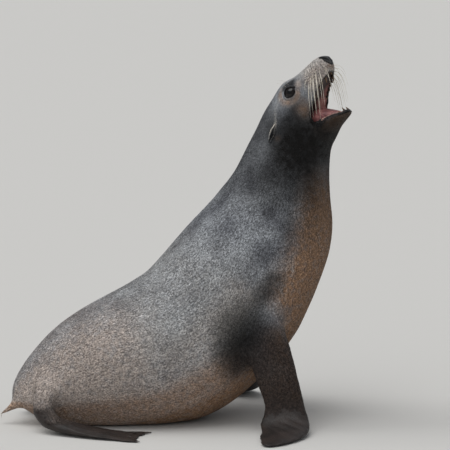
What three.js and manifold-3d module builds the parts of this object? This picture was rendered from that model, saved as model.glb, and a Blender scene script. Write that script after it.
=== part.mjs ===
// A California sea lion, sitting up on its foreflippers with the head thrown back and the mouth open.
// Millimetres, +Z up, +X the way the body faces, +Y its left. It rests on small flats at z = 0.
import * as THREE from "three";
import { mergeVertices } from "three/addons/utils/BufferGeometryUtils.js";
import Module from "manifold-3d";

const wasm = await Module();
wasm.setup();

// ---- driving dimensions -------------------------------------------------------------------------

const GAP = 0.3; // clearance between neighbouring solids
const SLACK = 0.12; // how far thinning out the triangles may move a face
const FLOOR = 0; // height of the surface the animal rests on

const HEAD_AT = [270, 5, 803.5]; // middle of the head, level with the ears
const HEAD_PITCH = 42.5; // degrees the head's own axis rises
const HEAD_YAW = -41; // degrees the head turns to its right

const EYE = { f: 88, l: 44.5, u: 39, radius: 21.5 }; // centre of an eyeball in the head's frame
const EAR = { f: 2, l: 80, u: -6, length: 42, width: 15, thick: 9 };

// The trunk and neck: each station is a slice given by its point on the back and on the belly, as
// [x, z], its half width, how squarely it is rounded, and how far it turns with the neck, in degrees.
const BODY = [
  { back: [234, 830], belly: [352, 796], half: 60, square: 2.0, turn: -41 },
  { back: [196, 812], belly: [396, 768], half: 84, square: 2.0, turn: -38 },
  { back: [162, 757], belly: [393, 726], half: 101, square: 2.0, turn: -30 },
  { back: [134, 694], belly: [388, 675], half: 116, square: 2.0, turn: -20 },
  { back: [100, 645], belly: [391, 610], half: 139, square: 2.05, turn: -11 },
  { back: [55, 591], belly: [397, 533], half: 167, square: 2.1, turn: -5 },
  { back: [3, 538], belly: [386, 452], half: 193, square: 2.15, turn: 0 },
  { back: [-54, 474], belly: [354, 368], half: 209, square: 2.2, turn: 0 },
  { back: [-118, 404], belly: [298, 243], half: 219, square: 2.2, turn: 0 },
  { back: [-194, 361], belly: [182, 98], half: 223, square: 2.25, turn: 0 },
  { back: [-268, 325], belly: [10, -2], half: 214, square: 2.3, turn: 0 },
  { back: [-336, 286], belly: [-138, -17], half: 190, square: 2.3, turn: 0 },
  { back: [-391, 245], belly: [-252, -22], half: 156, square: 2.25, turn: 0 },
  { back: [-438, 197], belly: [-342, -14], half: 117, square: 2.15, turn: 0 },
  { back: [-474, 151], belly: [-412, 6], half: 80, square: 2.1, turn: 0 },
  { back: [-497, 109], belly: [-460, 36], half: 42, square: 2.0, turn: 0 },
  { back: [-503, 86], belly: [-492, 62], half: 13, square: 2.0, turn: 0 },
];

// The skull and upper jaw, from inside the neck to the nose, in the head's frame: how far forward,
// the heights of its top and bottom, its half width, and the roundness of its two halves.
const SKULL = [
  { f: -70, top: 50, low: -112, half: 78, crown: 2, jowl: 2 },
  { f: -45, top: 62, low: -124, half: 85, crown: 2, jowl: 2 },
  { f: -15, top: 73, low: -129, half: 86, crown: 2, jowl: 2 },
  { f: 20, top: 80, low: -129, half: 82, crown: 2.1, jowl: 2 },
  { f: 50, top: 86, low: -120, half: 74.5, crown: 2.2, jowl: 2.1 },
  { f: 72, top: 90, low: -102, half: 67.5, crown: 2.3, jowl: 2.3 },
  { f: 88, top: 87.5, low: -80, half: 63.5, crown: 2.3, jowl: 2.8 },
  { f: 102, top: 82.5, low: -57, half: 60, crown: 2.2, jowl: 3.4 },
  { f: 120, top: 78.5, low: -33, half: 57, crown: 2.1, jowl: 4 },
  { f: 143, top: 77, low: -13, half: 51, crown: 2, jowl: 3.8 },
  { f: 168, top: 76.5, low: 0, half: 46, crown: 2, jowl: 3.4 },
  { f: 190, top: 75.5, low: 11, half: 41.5, crown: 2.1, jowl: 3 },
  { f: 206, top: 71.5, low: 19, half: 33.5, crown: 2.2, jowl: 2.6 },
  { f: 217, top: 64, low: 30, half: 22.5, crown: 2.2, jowl: 2.2 },
  { f: 223, top: 55, low: 42, half: 9, crown: 2, jowl: 2 },
];

const JAW = [
  { f: 26, top: -60, low: -132, half: 54, crown: 2.6, jowl: 2.1 },
  { f: 60, top: -61, low: -131, half: 61, crown: 3, jowl: 2.1 },
  { f: 88, top: -62, low: -119, half: 60, crown: 3.6, jowl: 2.1 },
  { f: 112, top: -65, low: -110, half: 50, crown: 4, jowl: 2.1 },
  { f: 136, top: -72.5, low: -107, half: 38.5, crown: 3.8, jowl: 2.1 },
  { f: 155, top: -82, low: -105.5, half: 29.5, crown: 3.2, jowl: 2.1 },
  { f: 171, top: -90, low: -103.5, half: 20, crown: 2.6, jowl: 2.1 },
  { f: 180, top: -94.5, low: -101, half: 11, crown: 2.2, jowl: 2 },
];

// The hollow of the mouth, the arch of the palate and the trough of the lower jaw.
const THROAT = [
  { f: 20, top: -46, low: -60, half: 8, crown: 2, jowl: 2 },
  { f: 42, top: -28, low: -76, half: 23, crown: 2, jowl: 2 },
  { f: 68, top: -12, low: -88, half: 38, crown: 2, jowl: 2.2 },
  { f: 92, top: -2, low: -94, half: 51, crown: 2, jowl: 2.4 },
  { f: 112, top: -8, low: -88, half: 52, crown: 2, jowl: 2.4 },
  { f: 124, top: -26, low: -72, half: 48, crown: 2, jowl: 2 },
];
const PALATE = [
  { f: 84, top: -4, low: -56, half: 38, crown: 2.2, jowl: 2 },
  { f: 112, top: 3, low: -56, half: 43, crown: 2.3, jowl: 2 },
  { f: 140, top: 10, low: -40, half: 39, crown: 2.3, jowl: 2 },
  { f: 166, top: 18, low: -24, half: 32.5, crown: 2.2, jowl: 2 },
  { f: 186, top: 25, low: -8, half: 24.5, crown: 2.1, jowl: 2 },
  { f: 199, top: 28, low: 6, half: 13, crown: 2, jowl: 2 },
];
const TROUGH = [
  { f: 60, top: -48, low: -96, half: 36, crown: 2, jowl: 2.2 },
  { f: 90, top: -50, low: -99, half: 44, crown: 2, jowl: 2.2 },
  { f: 116, top: -54, low: -96, half: 39, crown: 2, jowl: 2.2 },
  { f: 139, top: -61, low: -96, half: 28, crown: 2, jowl: 2.2 },
  { f: 157, top: -73, low: -96.5, half: 19, crown: 2, jowl: 2.2 },
  { f: 169, top: -85, low: -97, half: 10, crown: 2, jowl: 2 },
];
const TONGUE = [
  { f: 34, top: -54, low: -74, half: 12, crown: 2, jowl: 2 },
  { f: 56, top: -34, low: -86, half: 28, crown: 2, jowl: 2.2 },
  { f: 84, top: -24, low: -93, half: 35, crown: 2.1, jowl: 2.2 },
  { f: 110, top: -32, low: -93, half: 32, crown: 2.2, jowl: 2.2 },
  { f: 130, top: -53, low: -93, half: 25, crown: 2.2, jowl: 2.2 },
  { f: 148, top: -74, low: -93.5, half: 16, crown: 2.1, jowl: 2 },
  { f: 157, top: -84, low: -93, half: 8, crown: 2, jowl: 2 },
];

// Teeth in the head's frame: [how far forward, how far out, root height, length, base radius].
const UPPER_TEETH = [
  [200, 4.5, 25, 8, 2.2],
  [197, 11, 23, 9, 2.8],
  [189, 21.5, 19, 22, 5],
  ...[175, 163, 151, 140, 129].map((f, i) => [f, 29.5 + 2.6 * i, 9 - 4.8 * i, 9, 4]),
];
const LOWER_TEETH = [
  [173, 3.5, -96, 7, 2],
  [168, 13.5, -94.5, 20, 4.6],
  ...[156, 145, 134, 123, 112].map((f, i) => [f, 21 + 4.2 * i, -89 + 3.2 * i, 9.5, 3.8]),
];

// A foreflipper, from inside the shoulder to its tip: where its middle runs, as [x, out, z], the
// whole chord and thickness, and the compass angle its leading edge faces, in degrees outwards of +X.
const FORE = [
  { at: [128, 128, 338], chord: 150, thick: 96, faces: 4 },
  { at: [152, 182, 262], chord: 140, thick: 92, faces: 4 },
  { at: [176, 218, 188], chord: 128, thick: 76, faces: 2 },
  { at: [193, 242, 122], chord: 120, thick: 58, faces: 0 },
  { at: [203, 258, 66], chord: 126, thick: 46, faces: 0 },
  { at: [200, 286, 27], chord: 142, thick: 37, faces: 10 },
  { at: [186, 332, 13], chord: 140, thick: 29, faces: 22 },
  { at: [164, 378, 9], chord: 120, thick: 22, faces: 24 },
  { at: [138, 420, 7], chord: 90, thick: 17, faces: 26 },
  { at: [116, 451, 5.5], chord: 56, thick: 13, faces: 28 },
  { at: [104, 468, 4.5], chord: 24, thick: 9, faces: 28 },
];
const FORE_SCALLOPS = { count: 4.5, depth: 0.06 }; // the wavy trailing edge of the blade

// A hind flipper, from inside the hip round the heel to the root of the toes.
const HIND = [
  { at: [-410, 92, 122], chord: 74, thick: 74, faces: 112 },
  { at: [-426, 108, 86], chord: 76, thick: 68, faces: 112 },
  { at: [-430, 126, 54], chord: 80, thick: 58, faces: 114 },
  { at: [-414, 146, 33], chord: 87, thick: 47, faces: 115 },
  { at: [-380, 168, 21], chord: 97, thick: 38, faces: 116 },
  { at: [-334, 196, 13.5], chord: 112, thick: 28, faces: 116 },
  { at: [-292, 221, 9.5], chord: 124, thick: 20, faces: 116 },
  { at: [-256, 241, 7], chord: 132, thick: 13, faces: 116 },
  { at: [-230, 253, 5], chord: 126, thick: 8, faces: 116 },
];
// The five toes, inner to outer: length past the root, half width, and sideways place on the foot.
const TOES = [
  { long: 96, half: 17, side: -50 },
  { long: 82, half: 13, side: -25 },
  { long: 78, half: 13, side: -1 },
  { long: 82, half: 13, side: 23 },
  { long: 98, half: 18, side: 48 },
];
const TOE_ROOT = [-250, 244]; // x and out of the middle toe's root
const TOE_AIM = 25; // degrees outwards of +X that the middle toe points
const TOE_FAN = 5; // degrees between neighbouring toes
const TOE_THICK = 11;
const NAIL = { back: 40, long: 11, half: 2.8, thick: 3.2 }; // set back from the end of its toe

const TAIL = [
  { at: [-456, 66], half: 26, deep: 16 },
  { at: [-488, 52], half: 21, deep: 12.5 },
  { at: [-512, 39], half: 16, deep: 9.5 },
  { at: [-529, 29], half: 10, deep: 6.5 },
  { at: [-537, 24], half: 4.5, deep: 3.5 },
];

// Cuts between the named parts, each a plane by a point and the way it faces.
const NECK_CUT = { at: [292, -12, 798], faces: [-0.28, 0.1, 0.95] };
const SHOULDER_CUT = { at: [240, 0, 600], faces: [0.2, 0, 0.98] };
const TAIL_CUT = { at: [-488, 0, 52], faces: [-0.84, 0, -0.54] };
const JAW_CORNER = [95, -63]; // where the cut between the jaws starts, in the head's frame
const JAW_CUT_LEAN = -20; // degrees the lower jaw points below the head's axis

// ---- small tools --------------------------------------------------------------------------------

const rad = THREE.MathUtils.degToRad;
const vec = (x, y, z) => new THREE.Vector3(x, y, z);

const headFrame = (() => {
  const turn = new THREE.Matrix4().makeRotationZ(rad(HEAD_YAW));
  const lift = new THREE.Matrix4().makeRotationY(-rad(HEAD_PITCH));
  return turn.multiply(lift).setPosition(...HEAD_AT);
})();

// A smooth value between four neighbours, for numbers and lists of numbers alike.
function spline(a, b, c, d, t) {
  if (Array.isArray(b)) return b.map((_, i) => spline(a[i], b[i], c[i], d[i], t));
  const bend = 2 * a - 5 * b + 4 * c - d;
  const twist = 3 * b - a - 3 * c + d;
  return b + 0.5 * t * (c - a + t * (bend + t * twist));
}

// The station at share t of the way along a list of them.
function station(list, t) {
  const place = THREE.MathUtils.clamp(t, 0, 1) * (list.length - 1);
  const i = Math.min(Math.floor(place), list.length - 2);
  const near = [i - 1, i, i + 1, i + 2].map((k) => list[THREE.MathUtils.clamp(k, 0, list.length - 1)]);
  const made = {};
  for (const key of Object.keys(list[0])) made[key] = spline(...near.map((s) => s[key]), place - i);
  return made;
}

// A point of a rounded section: angle 0 is across, 90 degrees is up.
function rounded(angle, squareUp, squareDown) {
  const [c, s] = [Math.cos(angle), Math.sin(angle)];
  const power = 2 / (s > 0 ? squareUp : squareDown);
  return [Math.sign(c) * Math.abs(c) ** power, Math.sign(s) * Math.abs(s) ** power];
}

// A closed tube: a unit cylinder whose slices are placed by section(t, angle), a point on the rim.
function tube(section, middle, around, along) {
  const shape = new THREE.CylinderGeometry(1, 1, 1, around, along);
  const spots = shape.getAttribute("position");
  for (let i = 0; i < spots.count; i++) {
    const t = spots.getY(i) + 0.5;
    const rim = Math.hypot(spots.getX(i), spots.getZ(i)) > 0.5;
    const angle = Math.atan2(spots.getZ(i), spots.getX(i));
    const p = rim ? section(t, angle) : middle(t);
    spots.setXYZ(i, p.x, p.y, p.z);
  }
  return solid(shape);
}

// A closed surface as a solid with its faces out.
function solid(shape) {
  shape.deleteAttribute("normal");
  shape.deleteAttribute("uv");
  const merged = mergeVertices(shape, 1e-4);
  const made = (order) =>
    new wasm.Manifold(
      new wasm.Mesh({ numProp: 3, vertProperties: merged.getAttribute("position").array, triVerts: order }),
    );
  const order = new Uint32Array(merged.index.array);
  const first = made(order);
  return first.volume() > 0 ? first : made(order.reverse());
}

const moved = (body, matrix) => body.transform(matrix.elements);

// The solid on the side of a plane that it faces, and what is left, with the gap between them.
function halves(body, { at, faces }) {
  const way = vec(...faces).normalize();
  const offset = way.dot(vec(...at));
  return [
    body.trimByPlane(way.toArray(), offset + GAP / 2),
    body.trimByPlane(way.clone().negate().toArray(), GAP / 2 - offset),
  ];
}

const onFloor = (body) => body.trimByPlane([0, 0, 1], FLOOR);

// ---- the parts ----------------------------------------------------------------------------------

// The trunk and neck in one tube. grow makes it larger all round.
function bodyTube(grow = 0) {
  const slice = (t) => {
    const s = station(BODY, t);
    const up = vec(s.back[0] - s.belly[0], 0, s.back[1] - s.belly[1]).multiplyScalar(0.5);
    const turn = vec(0, 0, 1);
    return {
      ...s,
      centre: vec((s.back[0] + s.belly[0]) / 2, 0, (s.back[1] + s.belly[1]) / 2),
      up: up.setLength(up.length() + grow).applyAxisAngle(turn, rad(s.turn)),
      across: vec(0, s.half + grow, 0).applyAxisAngle(turn, rad(s.turn)),
    };
  };
  const section = (t, angle) => {
    const s = slice(t);
    const [c, h] = rounded(angle, s.square, s.square);
    return s.centre.clone().addScaledVector(s.across, c).addScaledVector(s.up, h);
  };
  return tube(section, (t) => slice(t).centre, 26, 24);
}

// A tube along the head's own axis.
function headTube(list, around, along, grow = 0) {
  const slice = (t) => {
    const s = station(list, t);
    return { ...s, middle: (s.top + s.low) / 2, tall: (s.top - s.low) / 2 + grow };
  };
  const section = (t, angle) => {
    const s = slice(t);
    const [c, h] = rounded(angle, s.crown, s.jowl);
    return vec(s.f + grow * (2 * t - 1), c * (s.half + grow), s.middle + h * s.tall);
  };
  const middle = (t) => vec(slice(t).f + grow * (2 * t - 1), 0, slice(t).middle);
  return tube(section, middle, around, along);
}

// Pointed pegs on both sides, with their roots sunk in the gum. up is -1 for teeth that point down.
function teeth(list, up, lean) {
  return list.flatMap(([f, out, root, long, radius]) =>
    [-1, 1].map((side) => {
      const peg = new THREE.ConeGeometry(radius, long + 6, 4).rotateX((up * Math.PI) / 2);
      peg.rotateY(rad(lean)).translate(f, side * out, root + up * (long / 2 - 3));
      return solid(peg);
    }),
  );
}

// A flat tapering limb on one side, side -1 for the right. Its sections follow the path's own turn.
function limb(list, side, around, along, scallops) {
  const spot = (t) => vec(...station(list, t).at);
  const slice = (t) => {
    const s = station(list, t);
    const ahead = spot(Math.min(t + 0.01, 1)).sub(spot(Math.max(t - 0.01, 0))).normalize();
    const chord = vec(Math.cos(rad(s.faces)), Math.sin(rad(s.faces)), 0);
    chord.addScaledVector(ahead, -chord.dot(ahead)).normalize();
    return { ...s, centre: vec(...s.at), chord, half: s.chord / 2, deep: ahead.clone().cross(chord) };
  };
  const section = (t, angle) => {
    const s = slice(t);
    const [c, h] = rounded(angle, 2, 2);
    const wave = c < 0 && scallops ? 1 + scallops.depth * Math.sin(scallops.count * 2 * Math.PI * t) : 1;
    const p = s.centre.clone().addScaledVector(s.chord, c * s.half * wave);
    return p.addScaledVector(s.deep, h * (s.thick / 2) * (1 + 0.3 * c));
  };
  const mirrored = (p) => vec(p.x, side * p.y, p.z);
  return tube((t, a) => mirrored(section(t, a)), (t) => mirrored(slice(t).centre), around, along);
}

// Where a toe or its nail is: the middle line from root to tip, turned outwards by its place.
function toeLine(index, side) {
  const { side: offset } = TOES[index];
  const aim = rad(TOE_AIM + (index - 2) * TOE_FAN) * side;
  const across = rad(TOE_AIM) * side + (Math.PI / 2) * side;
  const root = vec(TOE_ROOT[0] + offset * Math.cos(across), side * TOE_ROOT[1] + offset * Math.sin(across), 0);
  return { root, aim, way: vec(Math.cos(aim), Math.sin(aim), 0) };
}

// A flattened egg lying along a line on the floor.
function pad(centre, aim, long, half, thick) {
  const egg = new THREE.SphereGeometry(1, 8, 4).rotateX(Math.PI / 2);
  egg.scale(long, half, thick).rotateZ(aim).translate(centre.x, centre.y, centre.z);
  return solid(egg);
}

function hindFlipper(side) {
  let foot = limb(HIND, side, 12, 8);
  TOES.forEach((toe, i) => {
    const { root, aim, way } = toeLine(i, side);
    const centre = root.addScaledVector(way, toe.long / 2 - 8).setZ(4);
    foot = foot.add(pad(centre, aim, toe.long / 2 + 8, toe.half, TOE_THICK / 2));
  });
  return foot;
}

function nail(index, side, grow = 0) {
  const { root, aim, way } = toeLine(index, side);
  const centre = root.addScaledVector(way, TOES[index].long - NAIL.back).setZ(9.6);
  return pad(centre, aim, NAIL.long / 2 + grow, NAIL.half + grow, NAIL.thick / 2 + grow);
}

// A small rolled ear, hollow on the side that faces down, pointing back along the head.
function ear(side, grow = 0) {
  const long = EAR.length;
  const leaf = new THREE.SphereGeometry(1, 10, 6).rotateZ(Math.PI / 2);
  leaf.scale(long / 2 + 6 + grow, EAR.thick / 2 + grow, EAR.width / 2 + grow);
  let body = solid(leaf);
  if (!grow) {
    const slot = new THREE.SphereGeometry(1, 8, 6).rotateZ(Math.PI / 2).scale(long * 0.36, 3.2, 4);
    slot.translate(-5, side * 1.2, -EAR.width / 2 + 1.5);
    body = body.subtract(solid(slot));
  }
  const place = new THREE.Matrix4().makeRotationZ(rad(-side * 13));
  place.premultiply(new THREE.Matrix4().makeRotationY(rad(-30)));
  place.setPosition(EAR.f - long * 0.36, side * (EAR.l + 4.5), EAR.u - 10);
  return moved(moved(body, place), headFrame);
}

function eye(side, grow = 0) {
  const ball = new THREE.SphereGeometry(EYE.radius + grow, 12, 8);
  return moved(solid(ball.translate(EYE.f, side * EYE.l, EYE.u)), headFrame);
}

function tail() {
  const section = (t, angle) => {
    const s = station(TAIL, t);
    const [c, h] = rounded(angle, 2, 2);
    return vec(s.at[0] - 0.45 * h * s.deep, c * s.half, s.at[1] + h * s.deep);
  };
  return tube(section, (t) => vec(station(TAIL, t).at[0], 0, station(TAIL, t).at[1]), 12, 6);
}

// The space the lower jaw is cut out with: below the lips and in front of the jaw's own cut.
function jawSpace(inset) {
  const lean = rad(JAW_CUT_LEAN);
  const [f, u] = [JAW_CORNER[0] + inset, JAW_CORNER[1] - inset];
  const reach = 110;
  const side = new THREE.Shape([
    new THREE.Vector2(f, u),
    new THREE.Vector2(f + Math.sin(lean) * reach, u - Math.cos(lean) * reach),
    new THREE.Vector2(f + 2 * reach, u - 2 * reach),
    new THREE.Vector2(f + 2 * reach, u),
  ]);
  const wide = 200;
  const block = new THREE.ExtrudeGeometry(side, { depth: wide, bevelEnabled: false });
  return solid(block.rotateX(Math.PI / 2).translate(0, wide / 2, 0));
}

function headAndJaw() {
  const mouth = headTube(THROAT, 12, 6).add(headTube(PALATE, 12, 6)).add(headTube(TROUGH, 12, 6));
  let head = headTube(SKULL, 24, 18).add(headTube(JAW, 16, 9)).subtract(mouth);
  for (const tooth of [...teeth(UPPER_TEETH, -1, 12), ...teeth(LOWER_TEETH, 1, 8)]) head = head.add(tooth);
  return head.subtract(headTube(TONGUE, 12, 8, GAP));
}

// ---- putting it together ------------------------------------------------------------------------

const FLESH = { color: 0x6f6a66, roughness: 0.62 };
const LEATHER = { color: 0x2b2623, roughness: 0.5 };
const finishes = {
  coat: new THREE.MeshStandardMaterial({ ...FLESH, metalness: 0 }),
  leather: new THREE.MeshStandardMaterial({ ...LEATHER, metalness: 0 }),
  tongue: new THREE.MeshStandardMaterial({ color: 0x9a5a60, roughness: 0.35, metalness: 0 }),
  eye: new THREE.MeshStandardMaterial({ color: 0x15110f, roughness: 0.08, metalness: 0 }),
  nail: new THREE.MeshStandardMaterial({ color: 0x2a2420, roughness: 0.45, metalness: 0 }),
};

const seaLion = new THREE.Group();

function addNode(name, body, finish) {
  const { vertProperties, triVerts, numProp } = body.simplify(SLACK).getMesh();
  const spots = new Float32Array((vertProperties.length / numProp) * 3);
  for (let i = 0; i * numProp < vertProperties.length; i++) {
    spots.set(vertProperties.subarray(i * numProp, i * numProp + 3), i * 3);
  }
  const shape = new THREE.BufferGeometry();
  shape.setAttribute("position", new THREE.BufferAttribute(spots, 3));
  shape.setIndex(new THREE.BufferAttribute(triVerts, 1));
  const mesh = new THREE.Mesh(shape, finishes[finish]);
  mesh.name = name;
  seaLion.add(mesh);
}

const SIDES = { right: -1, left: 1 };
const grownBody = bodyTube(GAP);
let headPart = headAndJaw();
let jawPart = headPart.intersect(jawSpace(GAP / 2));
headPart = moved(headPart.subtract(jawSpace(-GAP / 2)), headFrame);
jawPart = moved(jawPart, headFrame);

const tongue = moved(headTube(TONGUE, 12, 8), headFrame);
const mouthRoom = moved(headTube(THROAT, 12, 6).add(headTube(TONGUE, 12, 8, GAP)), headFrame);
const whole = bodyTube().subtract(mouthRoom).subtract(moved(jawSpace(-GAP / 2), headFrame)).add(headPart);

let [head, below] = halves(whole, NECK_CUT);
let [neck, trunk] = halves(below, SHOULDER_CUT);
trunk = onFloor(trunk);
[, trunk] = halves(trunk, TAIL_CUT);

for (const [name, side] of Object.entries(SIDES)) {
  head = head.subtract(eye(side, GAP)).subtract(ear(side, GAP));
  neck = neck.subtract(ear(side, GAP));
}
addNode("head", head, "coat");
addNode("lower_jaw", jawPart, "coat");
addNode("tongue", tongue, "tongue");
addNode("neck", neck, "coat");
addNode("tail", halves(onFloor(tail()), TAIL_CUT)[0], "coat");

for (const [name, side] of Object.entries(SIDES)) {
  addNode(`eye_${name}`, eye(side), "eye");
  addNode(`ear_${name}`, ear(side), "coat");
  const fore = onFloor(limb(FORE, side, 14, 18, FORE_SCALLOPS));
  addNode(`foreflipper_${name}`, fore.subtract(grownBody), "leather");
  let hind = onFloor(hindFlipper(side)).subtract(grownBody);
  for (const toe of [1, 2, 3]) {
    hind = hind.subtract(nail(toe, side, GAP));
    addNode(`nail_${name}_${toe}`, nail(toe, side), "nail");
  }
  addNode(`hindflipper_${name}`, hind, "leather");
}
addNode("trunk", trunk, "coat");

// The origin is under the middle of the whole animal, on the floor.
const box = new THREE.Box3().setFromObject(seaLion);
const middle = box.getCenter(vec(0, 0, 0));
for (const mesh of seaLion.children) mesh.geometry.translate(-middle.x, -middle.y, -box.min.z);

export default seaLion;
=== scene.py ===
import math
from functools import partial

import bmesh
import bpy
import numpy as np
from mathutils import Matrix, Vector
from mathutils.bvhtree import BVHTree
from mathutils.kdtree import KDTree


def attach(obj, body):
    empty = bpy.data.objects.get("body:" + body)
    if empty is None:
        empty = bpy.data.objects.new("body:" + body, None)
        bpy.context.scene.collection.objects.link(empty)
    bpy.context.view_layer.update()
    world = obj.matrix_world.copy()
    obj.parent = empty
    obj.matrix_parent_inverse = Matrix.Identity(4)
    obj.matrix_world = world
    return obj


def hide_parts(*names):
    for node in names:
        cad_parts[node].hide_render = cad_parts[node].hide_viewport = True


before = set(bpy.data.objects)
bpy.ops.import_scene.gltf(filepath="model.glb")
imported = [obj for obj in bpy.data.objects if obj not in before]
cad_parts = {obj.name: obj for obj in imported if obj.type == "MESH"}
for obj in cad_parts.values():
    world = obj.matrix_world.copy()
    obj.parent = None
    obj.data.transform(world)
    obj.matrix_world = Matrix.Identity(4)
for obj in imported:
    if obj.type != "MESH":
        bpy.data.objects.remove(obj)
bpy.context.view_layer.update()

# A life-size sea lion sitting up with its head thrown back and its mouth open, as a still museum
# model. One skin covers all the flesh. Short fur lies over it in thin locks. The eyes, teeth,
# tongue, whiskers and nails are pieces of their own. Lengths are metres, but millimetres in the
# head's own frame: forward to the nose, out to the left, and up through the crown.

rng = np.random.default_rng(11)

HEAD = (
    Matrix.Translation((0.32522, 0.005, 0.8035))
    @ Matrix.Rotation(math.radians(-41), 4, "Z")
    @ Matrix.Rotation(math.radians(-42.5), 4, "Y")
)
HEAD_TURN = np.array(HEAD.to_3x3())
HEAD_PLACE = np.array(HEAD.translation)

EYE_CENTRE = (88.0, 44.5, 39.0)
EYE_RADIUS = 21.5
EYE_LOOK = (0.35, 0.905, 0.24)  # the way the left eye looks
EYE_CORNER = np.array((0.91, 0, 0.41))  # the way to its front corner

# The hollows of the mouth in the head's frame: forward, top, bottom, half width, and how square the
# upper and lower halves of the section are.
THROAT = [
    (20, -46, -60, 8, 2, 2),
    (42, -28, -76, 23, 2, 2),
    (68, -12, -88, 38, 2, 2.2),
    (92, -2, -94, 51, 2, 2.4),
    (112, -8, -88, 52, 2, 2.4),
    (124, -26, -72, 48, 2, 2),
]
PALATE = [
    (84, -4, -56, 38, 2.2, 2),
    (112, 3, -56, 43, 2.3, 2),
    (140, 10, -40, 39, 2.3, 2),
    (166, 18, -24, 32.5, 2.2, 2),
    (186, 25, -8, 24.5, 2.1, 2),
    (199, 28, 6, 13, 2, 2),
]
TROUGH = [
    (60, -48, -96, 36, 2, 2.2),
    (90, -50, -99, 44, 2, 2.2),
    (116, -54, -96, 39, 2, 2.2),
    (139, -61, -96, 28, 2, 2.2),
    (157, -73, -96.5, 19, 2, 2.2),
    (169, -85, -97, 10, 2, 2),
]
# Teeth: forward, out, height of the root, length, and radius at the root.
UPPER_TEETH = [(200, 4.5, 25, 7, 2), (197, 11, 23, 8, 2.5), (189, 21.5, 19, 19, 4)] + [
    (f, 29.5 + 2.6 * i, 9 - 4.8 * i, 7.5, 2.9) for i, f in enumerate((175, 163, 151, 140, 129))
]
LOWER_TEETH = [(173, 3.5, -96, 6.5, 1.8), (167, 11.6, -95, 17, 3.5)] + [
    (f, 21 + 4.2 * i, -89 + 3.2 * i, 9, 3.0) for i, f in enumerate((156, 145, 134, 123, 112))
]

# The middle of the body from nose to tail, for the lie of the coat. The first points are in the
# head's frame, the others are the back and belly heights of the trunk, in millimetres.
HEAD_LINE = [(224, 44), (190, 38), (150, 30), (105, 12), (60, -8), (20, -22)]
TRUNK_LINE = [
    ((217, 757), (448, 726)),
    ((189, 694), (443, 675)),
    ((155, 645), (446, 610)),
    ((110, 591), (452, 533)),
    ((58, 538), (441, 452)),
    ((1, 474), (409, 368)),
    ((-63, 404), (353, 243)),
    ((-139, 361), (237, 98)),
    ((-213, 325), (65, -2)),
    ((-281, 286), (-83, -17)),
    ((-336, 245), (-197, -22)),
    ((-383, 197), (-287, -14)),
    ((-419, 151), (-357, 6)),
    ((-442, 109), (-405, 36)),
    ((-470, 60), (-462, 40)),
    ((-486, 30), (-484, 22)),
]


# ---- places in the head and along the body ------------------------------------------------------


def in_head(points):
    """Places of the model, in metres, as millimetres in the head's frame."""
    return (np.asarray(points) - HEAD_PLACE) @ HEAD_TURN * 1000


def from_head(points):
    """Millimetres in the head's frame, as metres of the model."""
    return np.asarray(points, float) / 1000 @ HEAD_TURN.T + HEAD_PLACE


def ramp(value, low, high):
    """0 at low, 1 at high, with soft ends; low may be above high."""
    t = np.clip((np.asarray(value, float) - low) / (high - low), 0, 1)
    return t * t * (3 - 2 * t)


def highest(*layers):
    """The largest value of several layers at each point."""
    return np.maximum.reduce(np.broadcast_arrays(*layers))


def unit(vectors):
    """Each vector at a length of 1."""
    return vectors / np.linalg.norm(vectors, axis=1, keepdims=True).clip(1e-6)


def blot(points, centre, radii, soft=1.0):
    """A soft oval spot, 1 in the middle and 0 past its radii."""
    away = np.linalg.norm((points - np.asarray(centre)) / np.asarray(radii), axis=1)
    return ramp(away, 1.0, 1.0 - soft)


def spline(rows, step=0.1):
    """Rows of numbers followed smoothly, with a share of a gap from sample to sample."""
    rows = np.asarray(rows, float)
    padded = np.vstack([2 * rows[0] - rows[1], rows, 2 * rows[-1] - rows[-2]])
    made = []
    for i in range(len(rows) - 1):
        a, b, c, d = padded[i : i + 4]
        for t in np.arange(0, 1, step):
            bend = 2 * a - 5 * b + 4 * c - d + t * (3 * b - a - 3 * c + d)
            made.append(b + 0.5 * t * (c - a + t * bend))
    made.append(rows[-1])
    return np.array(made)


def body_line():
    """Points down the middle of the body, the way it runs and the way its back faces, and how far
    along each point is."""
    head = from_head([(f, 0, u) for f, u in HEAD_LINE])
    head_up = np.tile(HEAD_TURN[:, 2], (len(head), 1))
    trunk = np.array([[(a[0] + b[0]) / 2, 0, (a[1] + b[1]) / 2] for a, b in TRUNK_LINE]) / 1000
    trunk_up = unit(np.array([[a[0] - b[0], 0, a[1] - b[1]] for a, b in TRUNK_LINE], float))
    line = spline(np.hstack([np.vstack([head, trunk]), np.vstack([head_up, trunk_up])]), 0.02)
    spots, up = line[:, :3], line[:, 3:]
    run = unit(np.gradient(spots, axis=0))
    up = unit(up - run * np.sum(up * run, axis=1, keepdims=True))
    along = np.concatenate([[0], np.cumsum(np.linalg.norm(np.diff(spots, axis=0), axis=1))])
    return spots, run, up, along


def tree_of(points):
    """The points sorted so that the nearest to a place is found fast."""
    tree = KDTree(len(points))
    for i, spot in enumerate(points):
        tree.insert(spot, i)
    tree.balance()
    return tree


LINE, RUN, UP, ALONG = body_line()
LINE_TREE = tree_of(LINE)


def on_body(points):
    """How far along the body each point is, its angle round it from the back (left is positive),
    its distance from the middle and the way the body runs there."""
    near = np.array([LINE_TREE.find(p)[1] for p in points])
    away = points - LINE[near]
    ahead = np.sum(away * RUN[near], axis=1)
    along = ALONG[near] + ahead
    left = np.cross(UP[near], -RUN[near])
    angle = np.arctan2(np.sum(away * left, axis=1), np.sum(away * UP[near], axis=1))
    out = np.linalg.norm(away - RUN[near] * ahead[:, None], axis=1)
    return along, angle, out, RUN[near]


def on_both_sides(spots):
    """The same spots with their left and right sides laid over each other."""
    return np.stack([spots[:, 0], np.abs(spots[:, 1]), spots[:, 2]], axis=1)


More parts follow.
